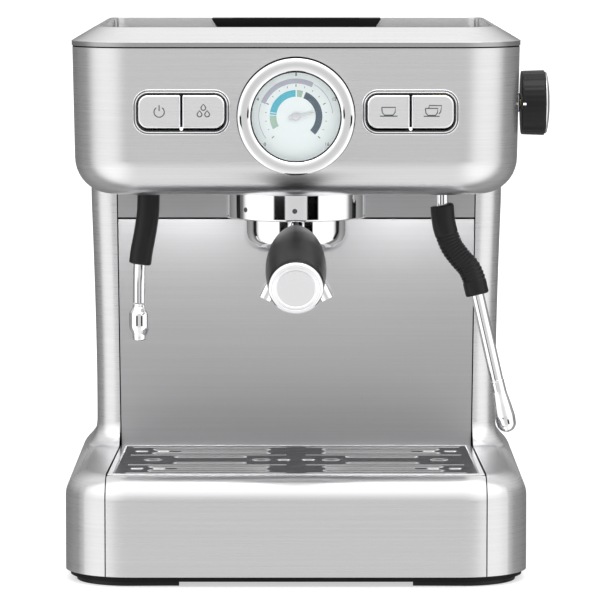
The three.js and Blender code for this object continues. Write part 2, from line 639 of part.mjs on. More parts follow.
// ---------------------------------------------------------------- hot water pipe, on the left
const waterBend = [
  [-100, 272], [-100, 258], [-100.2, 248], [-101, 240], [-102.6, 230], [-104.7, 219], [-105.9, 210],
  [-106.2, 200], [-106.3, 184],
].map(([x, z], i) => [x, WATER.y - 0.3 * i, z]);
const waterSleeve = [[-100, WATER.y - 0.2, 264], ...waterBend.slice(1, 7)];
add("hot_water_tube", tube(waterBend, WATER.radius, 4, 10), CHROME);
add("hot_water_grip", cut(
  tube(waterSleeve, WATER.grip, 5, 7),
  tube(waterBend, WATER.radius + 0.8, 4, 10),
), RUBBER);
add("hot_water_tip", aimed(turned([
  [0, 0.5], [4.4, 0.5], [4.6, 3], [6.8, 7], [7, 17], [4.8, 22], [4.6, 25.6], [0, 25.6],
], 16), waterBend.at(-1), [0, 0, -1]), CHROME);

// ---------------------------------------------------------------- water tank
function tankPlan(inset) {
  return roundedPlan(TANK.half - inset, TANK.front + inset, TANK.back - inset, TANK.corner - inset);
}

function tankBody() {
  const { bottom, top, wall } = TANK;
  return cut(
    union(solid(prism(tankPlan(0), bottom, top, 3)), bar("z", 6, 122, bottom + 1, 0, 97, 12)),
    solid(prism(tankPlan(wall), bottom + wall, top + 10, 3)),
    bar("z", 3, 110, 140, 0, 97, 10),
  );
}

function tankLid() {
  const bottom = TANK.top + GAP;
  const plate = solid(prism(roundedPlan(130.6, 51, 130.4, 2, 8), bottom, bottom + 3));
  const plug = solid(prism(tankPlan(TANK.wall + 1), bottom - 8, bottom + 1, 3));
  const hollow = solid(prism(tankPlan(TANK.wall + 3), bottom - 20, bottom + 0.6, 3));
  const grip = solid(facing(gripShape(0.6), 116, 149.4));
  const bridge = block(-55, 55, 116, 130.4, bottom + 2, RIM.lip + 2);
  const scoop = block(-46, 46, 121, 143, RIM.lip + 3.5, 380);
  return cut(union(plate, plug, bridge, grip), hollow, scoop);
}
add("water_tank", tankBody(), SMOKE);
add("tank_lid", tankLid(), BLACK);

// ---------------------------------------------------------------- works inside the casing
add("boiler", union(
  bar("z", 36, 270, 322, 0, GROUP.y, 24),
  bar("z", 41, 290, 294, 0, GROUP.y, 24),
  bar("z", 6, 321, 330, 14, GROUP.y, 10),
  bar("z", 6, 321, 330, -14, GROUP.y, 10),
), STEEL);
add("steam_solenoid", union(
  block(44, 74, -50, -20, 275, 305),
  bar("z", 8, 300, 320, 59, -35, 12),
), BLACK);
add("pump", union(
  block(-24, 24, 60, 100, 45, 85),
  bar("x", 13, -52, 52, 80, 65, 16),
  bar("x", 5, -64, 62, 80, 65, 10),
), BLACK);
add("control_board", union(
  block(20, 120, 31.5, 33.1, 30, 112),
  block(30, 54, 32, 52, 40, 66),
  block(64, 84, 32, 48, 74, 98),
  block(92, 112, 32, 44, 40, 60),
), BOARD);
add("suction_hose", tube([
  [0, 97, 119.8], [0, 97, 112], [-18, 94, 101], [-52, 86, 99], [-76, 80, 88], [-80, 80, 70], [-70, 80, 65.4],
  [-64.6, 80, 65],
], 4.5, 4, 14), SILICONE);
add("pressure_hose", tube([
  [62.6, 80, 65], [72, 80, 66], [84, 70, 78], [88, 54, 96], [88, 46, 112], [88, 46, 150],
], 3.4, 4, 12), SILICONE);
add("steam_line", tube([
  [14, GROUP.y, 330.5], [15, -68, 337], [28, -68, 342], [54, -72, 341], [76, -75, 331], [86, -75, 321],
  [90.8, -75, 319.6],
], 3, 4, 10), ALUMINIUM);

// ---------------------------------------------------------------- the exported frame
// The footprint runs from the side of the base to the end of the knob, and from the handle's end to the rear.
const CENTRE_X = (KNOB.end - BASE.half) / 2;
const CENTRE_Y = (HANDLE_END + BASE.back) / 2;
machine.position.set(-CENTRE_X, -CENTRE_Y, 0);
const root = new THREE.Group();
root.name = "espresso_machine";
root.add(machine);

export default root;
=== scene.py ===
import math
from types import SimpleNamespace as Sizes

import bmesh
import bpy
import numpy as np
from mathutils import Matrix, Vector


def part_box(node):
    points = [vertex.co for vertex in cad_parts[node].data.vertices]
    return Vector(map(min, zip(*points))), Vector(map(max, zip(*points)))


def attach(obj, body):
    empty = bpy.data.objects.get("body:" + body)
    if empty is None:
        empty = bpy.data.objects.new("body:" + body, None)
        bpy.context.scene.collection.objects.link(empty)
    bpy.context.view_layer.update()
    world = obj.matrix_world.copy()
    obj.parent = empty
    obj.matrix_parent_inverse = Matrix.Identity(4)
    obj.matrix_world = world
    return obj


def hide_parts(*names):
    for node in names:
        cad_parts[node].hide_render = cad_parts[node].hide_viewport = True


# The visible pieces of an espresso machine, their finishes, the stage, the light and the camera.
# Shapes are written in millimetres about the machine's own middle plane (x = 0) and mid depth (y = 0),
# with the user on the -Y side and the worktop at z = 0. put() moves them to their place in the CAD frame.
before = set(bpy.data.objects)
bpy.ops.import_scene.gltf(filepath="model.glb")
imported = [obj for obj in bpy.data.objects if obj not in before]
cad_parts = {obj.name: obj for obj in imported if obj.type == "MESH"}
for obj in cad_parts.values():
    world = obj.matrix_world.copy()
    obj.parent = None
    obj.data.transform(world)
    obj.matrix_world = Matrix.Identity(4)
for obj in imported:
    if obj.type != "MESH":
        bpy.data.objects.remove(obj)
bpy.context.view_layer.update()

MM = 0.001
head_low, head_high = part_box("head_shell")
HALF_DEPTH = 150
ORIGIN = Vector(((head_low.x + head_high.x) / 2, head_high.y - HALF_DEPTH * MM, 0))

# ---- driving dimensions
GAP = 0.4
WALL = 2
SEAM = 0.8
HEAD = Sizes(half=150, front=-143, back=150, bottom=260, top=358.4, corner=46, fillet=24, lean=0.013)
BASE = Sizes(half=155.5, front=-150, back=150, bottom=7, top=74, corner=46, fillet=17)
COLUMN = Sizes(half=141, front=24, back=150, top=290, corner=20, widen=3.6)
FLARE = Sizes(top=91, side=30, side_depth=22, front=17)
REAR_CORNER = 28
RIM = Sizes(half=150.5, front=-143.5, back=150, bottom=358.8, lip=362.5, top=372, corner=46, slope=16, land=3)
SPLASH = Sizes(seam=234, half_top=126, half_bottom=123.8, thick=1.5)
SLOT = Sizes(front_half=127.6, back_half=124.2)
REAR_OPENING = 129
GROUP_Y = -68
WAND = Sizes(x=98.8, y=-75, radius=4.5, grip=8, hole=6.5)
WATER = Sizes(x=-100, y=-75, radius=4.4, grip=7.6, hole=9.5)
HOLES = Sizes(knob=4.5, group=44.5)
TOUCHING = 1e-6
UP, RIGHT, USER = (0, 0, 1), (1, 0, 0), (0, -1, 0)


def near(node):
    """The lowest and highest corner of a CAD node, in millimetres about the machine's middle."""
    low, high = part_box(node)
    return (low - ORIGIN) / MM, (high - ORIGIN) / MM


def middle(node):
    low, high = near(node)
    return (low + high) / 2


# ---- mesh helpers
def add(name, data):
    """A new object in the scene that shows a mesh, curve, lamp or camera."""
    obj = bpy.data.objects.new(name, data)
    bpy.context.scene.collection.objects.link(obj)
    return obj


def evaluated(obj):
    """The mesh that an object's modifiers, curve or text make."""
    bpy.context.view_layer.update()
    return bpy.data.meshes.new_from_object(obj.evaluated_get(bpy.context.evaluated_depsgraph_get()))


def taken_from(flat):
    """The points and faces of a curve or text object, which is removed."""
    mesh = evaluated(flat)
    points = np.array([vertex.co for vertex in mesh.vertices])
    faces = [tuple(face.vertices) for face in mesh.polygons]
    bpy.data.objects.remove(flat)
    bpy.data.meshes.remove(mesh)
    return points, faces


def standing(points, depth):
    """Flat points stood upright at a depth, with their upper side towards the user."""
    return np.column_stack([points[:, 0], depth - points[:, 2], points[:, 1]])


def put(name, verts, faces, sharp=32):
    """A mesh object from millimetre points, with its normals out and its hard edges kept sharp."""
    mesh = bpy.data.meshes.new(name)
    mesh.from_pydata((np.asarray(verts, float) * MM + np.array(ORIGIN)).tolist(), [], faces)
    obj = add(name, mesh)
    tidy(obj, sharp)
    return obj


def tidy(obj, sharp):
    """Merges and drops what has no size, turns normals out, and marks edges over an angle as sharp."""
    work = bmesh.new()
    work.from_mesh(obj.data)
    bmesh.ops.remove_doubles(work, verts=work.verts, dist=0.002 * MM)
    bmesh.ops.dissolve_degenerate(work, edges=work.edges, dist=0.002 * MM)
    bmesh.ops.recalc_face_normals(work, faces=work.faces)
    work.to_mesh(obj.data)
    work.free()
    obj.data.shade_smooth()
    obj.data.set_sharp_from_angle(angle=math.radians(sharp))


def combine(obj, others, operation, sharp=32):
    """Applies boolean operations to obj and removes the objects used."""
    for other in others:
        step = obj.modifiers.new("boolean", "BOOLEAN")
        step.object = other
        step.operation = operation
        step.solver = "MANIFOLD"
    made = evaluated(obj)
    obj.modifiers.clear()
    obj.data = made
    made.name = obj.name
    for other in others:
        bpy.data.objects.remove(other)
    tidy(obj, sharp)
    return obj


def cut(obj, *others, sharp=32):
    return combine(obj, others, "DIFFERENCE", sharp)


def join(name, objs):
    """One object from several that stay separate shells."""
    work = bmesh.new()
    for obj in objs:
        work.from_mesh(obj.data)
    mesh = bpy.data.meshes.new(name)
    work.to_mesh(mesh)
    work.free()
    for obj in objs:
        bpy.data.objects.remove(obj)
    return add(name, mesh)


def arc(x, y, radius, start, end, count):
    """Points round a centre between two angles in degrees."""
    angles = np.radians(np.linspace(start, end, count))
    return [(x + radius * math.cos(angle), y + radius * math.sin(angle)) for angle in angles]


def rounded_plan(half, front, back, front_corner, back_corner=None, steps=12):
    """A rectangle with rounded corners, anticlockwise, as an array of points."""
    back_corner = front_corner if back_corner is None else back_corner
    corners = (
        (half - front_corner, front + front_corner, front_corner, -90),
        (half - back_corner, back - back_corner, back_corner, 0),
        (-half + back_corner, back - back_corner, back_corner, 90),
        (-half + front_corner, front + front_corner, front_corner, 180),
    )
    loop = []
    for x, y, radius, start in corners:
        loop += arc(x, y, radius, start, start + 90, steps + 1)
    return np.array(loop)


def plan_of(part, inset, steps=16):
    """The plan of the head, rim, base or column, drawn in by inset."""
    return rounded_plan(part.half - inset, part.front + inset, part.back - inset,
                        part.corner - inset, REAR_CORNER - inset, steps)


def slot_rows(half_length, half_width, corner, steps, x, first, pitch):
    """Two columns of five round-ended slots, whose half length and half width are given."""
    slot = rounded_plan(half_length, -half_width, half_width, corner, steps=steps)
    return [slot + [side * x, first + row * pitch]
            for row in range(5) for side in (-1, 1)]


def at_height(loop, z):
    return np.column_stack([loop, np.full(len(loop), z)])


def loft(name, rings, closed=False, sharp=32):
    """A skin over rings with equal counts, capped at its ends, or closed on itself."""
    count = len(rings[0])
    faces = []
    for i in range(len(rings) if closed else len(rings) - 1):
        a, b = i * count, ((i + 1) % len(rings)) * count
        for j in range(count):
            k = (j + 1) % count
            faces.append((a + j, a + k, b + k, b + j))
    if not closed:
        faces.append(tuple(range(count)))
        faces.append(tuple(range((len(rings) - 1) * count, len(rings) * count)))
    return put(name, np.vstack(rings), faces, sharp)


def block(x0, x1, y0, y1, z0, z1):
    loop = np.array([(x0, y0), (x1, y0), (x1, y1), (x0, y1)])
    return loft("block", [at_height(loop, z0), at_height(loop, z1)])


def soften(points, radius, steps=3, closed=False):
    """Rounds the corners of a polyline."""
    points = [np.array(p, float) for p in points]
    made = []
    for i, p in enumerate(points):
        if not closed and i in (0, len(points) - 1):
            made.append(p)
            continue
        a, b = points[i - 1] - p, points[(i + 1) % len(points)] - p
        reach = min(radius, 0.45 * np.linalg.norm(a), 0.45 * np.linalg.norm(b))
        start = p + a / np.linalg.norm(a) * reach
        end = p + b / np.linalg.norm(b) * reach
        for t in np.linspace(0, 1, steps + 1):
            made.append((1 - t) ** 2 * start + 2 * t * (1 - t) * p + t ** 2 * end)
    return made


def turn(name, profile, centre, axis, count, sharp=32, bulge=None):
    """A lathed piece from [radius, height] points, closed on itself where they don't reach the axis."""
    frame_of = Vector(axis).normalized().to_track_quat("Z", "Y").to_matrix()
    rings = []
    for radius, height in profile:
        ring = []
        for j in range(count):
            angle = 2 * math.pi * j / count
            r = radius if bulge is None else radius * bulge(angle, height)
            point = Vector((r * math.cos(angle), r * math.sin(angle), height))
            ring.append(Vector(centre) + frame_of @ point)
        rings.append(np.array(ring))
    reaches_axis = min(profile[0][0], profile[-1][0]) < TOUCHING
    return loft(name, rings, closed=not reaches_axis, sharp=sharp)


def smooth_path(points, steps):
    """Points on a Catmull-Rom curve through the given points."""
    p = [np.array(q, float) for q in points]
    p = [2 * p[0] - p[1]] + p + [2 * p[-1] - p[-2]]
    made = []
    for i in range(1, len(p) - 2):
        for t in np.linspace(0, 1, steps, endpoint=False):
            made.append(0.5 * (2 * p[i] + (p[i + 1] - p[i - 1]) * t
                               + (2 * p[i - 1] - 5 * p[i] + 4 * p[i + 1] - p[i + 2]) * t ** 2
                               + (3 * p[i] - p[i - 1] - 3 * p[i + 1] + p[i + 2]) * t ** 3))
    made.append(p[-2])
    return np.array(made)


def spaced(path, spacing):
    """The same path with its points evenly apart."""
    lengths = np.concatenate([[0], np.cumsum(np.linalg.norm(np.diff(path, axis=0), axis=1))])
    marks = np.linspace(0, lengths[-1], max(2, int(lengths[-1] / spacing) + 1))
    return np.column_stack([np.interp(marks, lengths, path[:, i]) for i in range(3)])


def sweep(name, path, radius_at, count, sharp=40):
    """A round skin along a path; radius_at(distance from the start, whole length) gives its radius."""
    length = float(np.sum(np.linalg.norm(np.diff(path, axis=0), axis=1)))
    normal = Vector((0, 1, 0))
    rings = []
    done = 0.0
    for i, p in enumerate(path):
        ahead = Vector(path[min(i + 1, len(path) - 1)] - path[max(i - 1, 0)]).normalized()
        normal = (normal - ahead * normal.dot(ahead)).normalized()
        across = ahead.cross(normal)
        if i:
            done += float(np.linalg.norm(path[i] - path[i - 1]))
        r = radius_at(done, length)
        angles = [2 * math.pi * j / count for j in range(count)]
        rings.append(np.array([Vector(p) + r * (math.cos(a) * normal + math.sin(a) * across)
                               for a in angles]))
    return loft(name, rings, sharp=sharp)


def plate(name, outer, holes, low, high, bevel, upright=None, sharp=32, rounding=1):
    """A flat plate with holes and eased edges, lying at heights low to high, or standing upright
    with its low face at depth "upright" and its high face towards the user."""
    curve = bpy.data.curves.new(name, "CURVE")
    curve.dimensions = "2D"
    curve.fill_mode = "BOTH"
    for loop in [outer, *holes]:
        spline = curve.splines.new("POLY")
        spline.points.add(len(loop) - 1)
        corners = np.column_stack([loop, np.zeros(len(loop)), np.ones(len(loop))])
        spline.points.foreach_set("co", corners.ravel())
        spline.use_cyclic_u = True
    curve.extrude = (high - low) / 2 - bevel
    curve.bevel_depth = bevel
    curve.bevel_resolution = rounding
    curve.offset = -bevel
    points, faces = taken_from(add(name, curve))
    points += [0, 0, (low + high) / 2]
    if upright is not None:
        points = standing(points, upright)
    return put(name, points, faces, sharp)


def piece(obj, material, *stands_for, body="body", slot=None):
    """Gives a new piece its finish, lets it ride on a body, and hides the CAD nodes behind it."""
    obj.data.materials.clear()
    obj.data.materials.append(material)
    even = obj.modifiers.new("even_shading", "WEIGHTED_NORMAL")
    even.keep_sharp = True
    slot or SLOT_OF[material.name]
    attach(obj, body)
    if stands_for:
        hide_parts(*stands_for)


# ---- materials
class Nodes:
    """The node tree of a material or world, with short ways to add, set and link its nodes."""

    def __init__(self, owner):
        owner.use_nodes = True
        self.tree = owner.node_tree

    def set(self, node, socket, value):
        node.inputs[socket].default_value = value

    def node(self, kind, **settings):
        made = self.tree.nodes.new(kind)
        for key, value in settings.items():
            setattr(made, key, value)
        return made

    def link(self, source, target):
        self.tree.links.new(source, target)

    def ramp(self, factor, low, high, start=0.3, end=0.7, **settings):
        """Maps a factor between start and end to a range of values."""
        mapped = self.node("ShaderNodeMapRange", clamp=True, **settings)
        for socket, value in zip(("From Min", "From Max", "To Min", "To Max"), (start, end, low, high)):
            self.set(mapped, socket, value)
        self.link(factor, mapped.inputs["Value"])
        return mapped.outputs["Result"]


class Finish(Nodes):
    """A material made of nodes around one Principled shader."""

    def __init__(self, name, color, roughness, metallic=0.0, **sockets):
        self.material = bpy.data.materials.new(name)
        super().__init__(self.material)
        self.shader = self.tree.nodes["Principled BSDF"]
        self.set(self.shader, "Base Color", (*color, 1))
        self.set(self.shader, "Roughness", roughness)
        self.set(self.shader, "Metallic", metallic)
        for key, value in sockets.items():
            self.set(self.shader, key.replace("_", " ").title().replace("Ior", "IOR"), value)
        self.color = color
        self.roughness = roughness
        self.bump_in = None

    def noise(self, scale, detail=3, roughness=0.6):
        """Noise over the piece's own coordinates in metres, stretched by a scale for each axis."""
        mapping = self.node("ShaderNodeMapping")
        self.set(mapping, "Scale", scale)
        self.link(self.node("ShaderNodeTexCoord").outputs["Object"], mapping.inputs["Vector"])
        texture = self.node("ShaderNodeTexNoise")
        self.set(texture, "Scale", 1)
        self.set(texture, "Detail", detail)
        self.set(texture, "Roughness", roughness)
        self.link(mapping.outputs["Vector"], texture.inputs["Vector"])
        return texture.outputs["Fac"]

    def vary_color(self, factor, amount):
        mixed = self.node("ShaderNodeMix", data_type="RGBA")
        self.link(self.ramp(factor, 0, 1), mixed.inputs["Factor"])
        self.set(mixed, "A", (*(c * (1 - amount) for c in self.color), 1))
        self.set(mixed, "B", (*(min(1, c * (1 + amount)) for c in self.color), 1))
        self.link(mixed.outputs["Result"], self.shader.inputs["Base Color"])

    def vary_roughness(self, factor, amount):
        value = self.ramp(factor, self.roughness - amount, self.roughness + amount)
        self.link(value, self.shader.inputs["Roughness"])

    def bump(self, height, depth_mm, strength=1.0):
        made = self.node("ShaderNodeBump")
        self.set(made, "Strength", strength)
        self.set(made, "Distance", depth_mm * MM)
        self.link(height, made.inputs["Height"])
        if self.bump_in is not None:
            self.link(self.bump_in, made.inputs["Normal"])
        self.bump_in = made.outputs["Normal"]
        self.link(self.bump_in, self.shader.inputs["Normal"])


def steel(name, color, roughness, level=False, depth=0.006, streaks=0.05, stretch=0.55, **sockets):
    """Brushed steel, with its grain running across the machine. level is for faces that lie flat."""
    finish = Finish(name, color, roughness, 1.0, anisotropic=stretch, **sockets)
    fine = (9, 3200, 3200) if level else (9, 9, 3200)
    broad = (4, 900, 900) if level else (4, 4, 900)
    grain = finish.noise(fine, 4, 0.7)
    bands = finish.noise(broad, 3, 0.6)
    cloud = finish.noise((7, 7, 7), 2, 0.5)
    finish.vary_color(bands, streaks)
    finish.vary_roughness(grain, 0.05)
    finish.bump(grain, depth)
    finish.bump(cloud, 0.02, 0.25)
    tangent = finish.node("ShaderNodeTangent", direction_type="RADIAL", axis="X" if level else "Z")
    finish.link(tangent.outputs["Tangent"], finish.shader.inputs["Tangent"])
    return finish.material


def polished(name, color, roughness, scratches=0.0015):
    """Plated or polished metal with hairline scratches and faint smears."""
    finish = Finish(name, color, roughness, 1.0)
    hairlines = finish.noise((160, 40, 1900), 3, 0.75)
    smears = finish.noise((24, 24, 24), 3, 0.6)
    finish.vary_color(smears, 0.02)
    finish.vary_roughness(smears, roughness * 0.5)
    finish.bump(hairlines, scratches, 0.6)
    return finish.material


def moulded(name, color, roughness, grain_mm=0.35, depth=0.02, wear=0.2, **sockets):
    """Moulded plastic or rubber: a fine cast texture, with a slightly uneven colour and gloss."""
    finish = Finish(name, color, roughness, 0.0, **sockets)
    pitch = 1 / (grain_mm * MM)
    skin = finish.noise((pitch, pitch, pitch), 2, 0.5)
    patches = finish.noise((18, 18, 18), 3, 0.6)
    finish.vary_color(patches, wear)
    finish.vary_roughness(patches, 0.06)
    finish.bump(skin, depth, 0.7)
    return finish.material


STEEL = steel("brushed_steel", (0.76, 0.755, 0.765), 0.3, streaks=0.03)
STEEL_LEVEL = steel("brushed_steel_level", (0.76, 0.755, 0.765), 0.3, level=True)
STEEL_RIM = steel("bright_steel", (0.84, 0.838, 0.842), 0.22, level=True, streaks=0.03)
# Painted shade: the splash and upper panels take a darker copy of the steel colour, standing in for the shade
# under the head.
STEEL_SPLASH_SHADED = steel("splash_steel_painted_shade", (0.5, 0.497, 0.505), 0.46, streaks=0.03, stretch=0.3)
# Painted shade: the rim's lip band takes a darker copy of the steel colour.
STEEL_LIP_SHADED = steel("lip_steel_painted_shade", (0.46, 0.46, 0.465), 0.34, streaks=0.03)
# Painted shade: the channel between the key frame's ridges takes a dark copy of the steel colour.
STEEL_CHANNEL_SHADED = steel("channel_steel_painted_shade", (0.2, 0.2, 0.21), 0.4, streaks=0.03)
STEEL_BUTTON = steel("satin_button", (0.92, 0.92, 0.93), 0.3, streaks=0.015, depth=0.003)
# Painted shade: the drip grid's field and skirt take a dark copy of the steel colour and a dark tint,
# standing in for the dark surroundings they reflect.
STEEL_PRESSED_SHADED = steel("pressed_steel_painted_shade", (0.3, 0.3, 0.31), 0.28, level=True, depth=0.003,
                      specular_tint=(0.32, 0.32, 0.33, 1))
CHROME = polished("chrome", (0.93, 0.93, 0.94), 0.05)
CHROME_SATIN = polished("satin_chrome", (0.83, 0.83, 0.84), 0.24)
BLACK = moulded("black_plastic", (0.008, 0.008, 0.0085), 0.42, specular_ior_level=0.1)
BLACK_SOFT = moulded("soft_black_handle", (0.005, 0.005, 0.0055), 0.3, grain_mm=0.6, depth=0.008,
                    specular_ior_level=0.3)
RUBBER = moulded("black_rubber", (0.006, 0.006, 0.0065), 0.36, grain_mm=0.5, specular_ior_level=0.28)
GROOVE = moulded("groove_black", (0.003, 0.003, 0.003), 0.6, specular_ior_level=0.03)
# Painted shade: a dark grey ring that fills the gap round the keys stands in for the shade in that gap.
GAP_SHADE = moulded("gap_shade_grey", (0.045, 0.045, 0.047), 0.5, specular_ior_level=0.15)
BRASS = polished("brass", (0.69, 0.52, 0.24), 0.3)
ALUMINIUM = polished("cast_aluminium", (0.66, 0.67, 0.68), 0.45, scratches=0.01)
# Painted glow: the dial face gives off a faint light of its own, though it is no lamp.
DIAL_GLOWING = moulded("dial_white_painted_glow", (0.86, 0.93, 0.93), 0.5, depth=0.002, wear=0.02, emission_color=(0.9, 1, 1, 1),
                emission_strength=0.08)
LAMP = moulded("lamp_white", (0.95, 0.97, 1.0), 0.25, wear=0.02, emission_color=(1, 1, 1, 1),
               emission_strength=0.6)
SMOKE = moulded("smoke_tank", (0.62, 0.66, 0.7), 0.08, depth=0.002, wear=0.04, transmission_weight=0.94,
                ior=1.35)
GLASS = moulded("clear_lens", (1.0, 1.0, 1.0), 0.03, depth=0.001, wear=0.0, transmission_weight=1.0, ior=1.3)
SILICONE = moulded("milky_silicone", (0.72, 0.72, 0.7), 0.4, wear=0.05, transmission_weight=0.2, ior=1.41)
BOARD = moulded("circuit_board", (0.04, 0.19, 0.09), 0.35, grain_mm=1.2, depth=0.03)
PRINT_CYAN, PRINT_SLATE, PRINT_GREEN, PRINT_LILAC, PRINT_DARK = (
    moulded(f"print_{name}", color, 0.5, depth=0.002, wear=wear) for name, color, wear in (
        ("cyan", (0.1, 0.52, 0.66), 0.08), ("slate", (0.085, 0.13, 0.17), 0.08),
        ("green", (0.42, 0.6, 0.5), 0.08), ("lilac", (0.52, 0.53, 0.62), 0.08),
        ("dark", (0.06, 0.065, 0.07), 0.1)))
SLOT_OF = {finish.name: slot for slot, finishes in {
    "casing_steel": (STEEL, STEEL_LEVEL, STEEL_RIM, STEEL_SPLASH_SHADED, STEEL_LIP_SHADED, STEEL_PRESSED_SHADED),
    "button_steel": (STEEL_BUTTON,), "chrome": (CHROME, CHROME_SATIN, STEEL_CHANNEL_SHADED),
    "black_plastic": (BLACK, BLACK_SOFT), "rubber": (RUBBER, GROOVE, GAP_SHADE), "aluminium": (ALUMINIUM,),
    "dial": (DIAL_GLOWING, PRINT_CYAN, PRINT_SLATE, PRINT_GREEN, PRINT_LILAC, PRINT_DARK),
    "lamp": (LAMP,), "lens": (GLASS,),
}.items() for finish in finishes}

# ---- head
def head_ring(inset, z):
    plan = plan_of(HEAD, inset, 14)
    drop = min(1, max(0, (HEAD.top - z) / (HEAD.top - HEAD.bottom)))
    return at_height(plan * [1 - HEAD.lean * drop, 1], z)


def head_block(inset, bottom, top):
    fillet = HEAD.fillet - inset
    rings = []
    for angle in np.radians(np.linspace(0, 90, 11)):
        rounding, rise = fillet * (1 - math.sin(angle)), fillet * (1 - math.cos(angle))
        rings.append(head_ring(inset + rounding, bottom + rise))
    for z in np.linspace(bottom + fillet, top, 4)[1:]:
        rings.append(head_ring(inset, z))
    return loft("head_block", rings)


def round_bar(centre, axis, radius, length, count=64):
    return turn("bar", [(0, 0), (radius, 0), (radius, length), (0, length)], centre, axis, count)


def button_plan(side, grow, steps=8):
    """The outline round one pair of keys, wider by grow all round."""
    low, high = near("power_button")[0], near("manual_brew_button")[1]
    half = (high.x - low.x) / 2 + grow
    plan = rounded_plan(half, low.z - grow, high.z + grow, 7 + grow, steps=steps)
    return plan + [side * abs(low.x + high.x) / 2, 0]


gauge = middle("gauge_bezel")
gauge_radius = (near("gauge_bezel")[1].x - near("gauge_bezel")[0].x) / 2
dial_radius = (near("gauge_dial")[1].x - near("gauge_dial")[0].x) / 2
knob = middle("steam_knob")
front = HEAD.front

head = head_block(0, HEAD.bottom, HEAD.top)
cut(head, head_block(WALL, HEAD.bottom + WALL, HEAD.top + 20))
cut(
    head,
    block(-REAR_OPENING, REAR_OPENING, 100, 160, 200, HEAD.top + 1),
    block(-134, 134, COLUMN.front + 3, 160, 200, HEAD.bottom + 10),
    round_bar((0, front - 10, gauge.z), (0, 1, 0), dial_radius + 1.4, 20),
    plate("hole", button_plan(-1, 1), [], -10, 10, 0.01, upright=front),
    plate("hole", button_plan(1, 1), [], -10, 10, 0.01, upright=front),
    round_bar((130, knob.y, knob.z), RIGHT, HOLES.knob, 30, 24),
    round_bar((0, GROUP_Y, HEAD.bottom - 5), UP, HOLES.group, 13),
    round_bar((WAND.x, WAND.y, HEAD.bottom - 5), UP, WAND.hole, 13, 24),
    round_bar((WATER.x, WATER.y, HEAD.bottom - 5), UP, WATER.hole, 13, 24),
)
piece(head, STEEL, "head_shell")


def rim_ring(inset, z):
    return at_height(plan_of(RIM, inset), z)


def rim_loft(name, section, sharp=32):
    """A closed ring round the top from [inset, z] points."""
    return loft(name, [rim_ring(inset, z) for inset, z in section], closed=True, sharp=sharp)


def notch_outline(top):
    """The grip's notch in the rear rail, which widens upwards."""
    half_at = lambda z: 56 + 0.63 * (z - RIM.lip)
    low, high = half_at(RIM.lip), half_at(top)
    return np.array([(-low, RIM.lip), (low, RIM.lip), (high, top), (-high, top)])


lip_seam = RIM.lip - 0.3
section = soften([
    (0, lip_seam), (0, RIM.lip), (RIM.slope, RIM.top), (RIM.slope + RIM.land, RIM.top),
    (RIM.slope + RIM.land, RIM.bottom), (RIM.slope, RIM.bottom), (RIM.slope, lip_seam),
], 0.7, 3, closed=True)
rim = rim_loft("top_rim_piece", section, 25)
cut(rim, plate("notch", notch_outline(RIM.top + 3), [], -30, 30, 0.01, upright=145))
piece(rim, STEEL_RIM, "top_rim")
lip_foot = RIM.bottom + 0.5
lip_section = soften([(0.1, lip_foot), (0.1, lip_seam), (3, lip_seam), (3, lip_foot)], 0.15, 2, closed=True)
# The lip band takes the darker steel: painted shade.
piece(rim_loft("top_rim_lip", lip_section, 50), STEEL_LIP_SHADED)
seal_section = [(0.9, HEAD.top + 0.02), (0.9, lip_foot - 0.02), (3, lip_foot - 0.02), (3, HEAD.top + 0.02)]
piece(rim_loft("top_rim_seal", seal_section), GROOVE)

deck_low, deck_high = near("cup_tray")
deck_outer = rounded_plan(deck_high.x, deck_low.y, deck_high.y, HEAD.corner - WALL, 1, 16)
deck = plate("cup_deck", deck_outer, slot_rows(42, 2.4, 2.38, 6, 56, -94, 28), deck_low.z, deck_high.z, 0.5)
piece(deck, STEEL_LEVEL, "cup_tray")


# ---- side panels and base
def hollow(radius, drop):
    """How far an arc of this radius has curved away, at a distance "drop" along its tangent."""
    return radius - math.sqrt(radius ** 2 - drop ** 2)


def base_plan(inset):
    return plan_of(BASE, inset)


def column_plan(inset, z):
    drop = min(max(FLARE.top - z, 0), FLARE.side_depth)
    side = hollow(FLARE.side, drop) + COLUMN.widen * min(1, max(0, (z - 110) / 140)) ** 1.5
    reach = hollow(FLARE.front, min(drop, FLARE.front))
    plan = plan_of(COLUMN, inset)
    plan[:, 0] += np.sign(plan[:, 0]) * side * np.minimum(1, np.abs(plan[:, 0]) / 100)
    plan[:, 1] -= np.where(plan[:, 1] < 60, reach, 0)
    return plan


HUB = np.array([0.0, 62.0])


def ray_angles():
    """Directions from the hub to every corner point of both plans."""
    loops = [base_plan(0), base_plan(8), column_plan(0, 120), column_plan(0, 80)]
    angles = np.concatenate([np.arctan2(*(loop - HUB).T[::-1]) for loop in loops])
    angles = np.sort(angles)
    keep = [angles[0]]
    for angle in angles[1:]:
        if angle - keep[-1] > 0.004:
            keep.append(angle)
    return np.array(keep)


ANGLES = ray_angles()
RAYS = np.column_stack([np.cos(ANGLES), np.sin(ANGLES)])


def reach_of(loop):
    """How far each ray runs from the hub to the outline."""
    a = loop - HUB
    edge = np.roll(a, -1, axis=0) - a
    across = RAYS[:, None, 0] * edge[None, :, 1] - RAYS[:, None, 1] * edge[None, :, 0]
    with np.errstate(divide="ignore", invalid="ignore"):
        far = (a[None, :, 0] * edge[None, :, 1] - a[None, :, 1] * edge[None, :, 0]) / across
        along = (a[None, :, 0] * RAYS[:, None, 1] - a[None, :, 1] * RAYS[:, None, 0]) / across
    hit = (along >= -1e-6) & (along <= 1 + 1e-6) & (far > 0)
    return np.where(hit, far, 0).max(axis=1)


def body_ring(z, *loops):
    far = np.max([reach_of(loop) for loop in loops], axis=0)
    return at_height(HUB + RAYS * far[:, None], z)


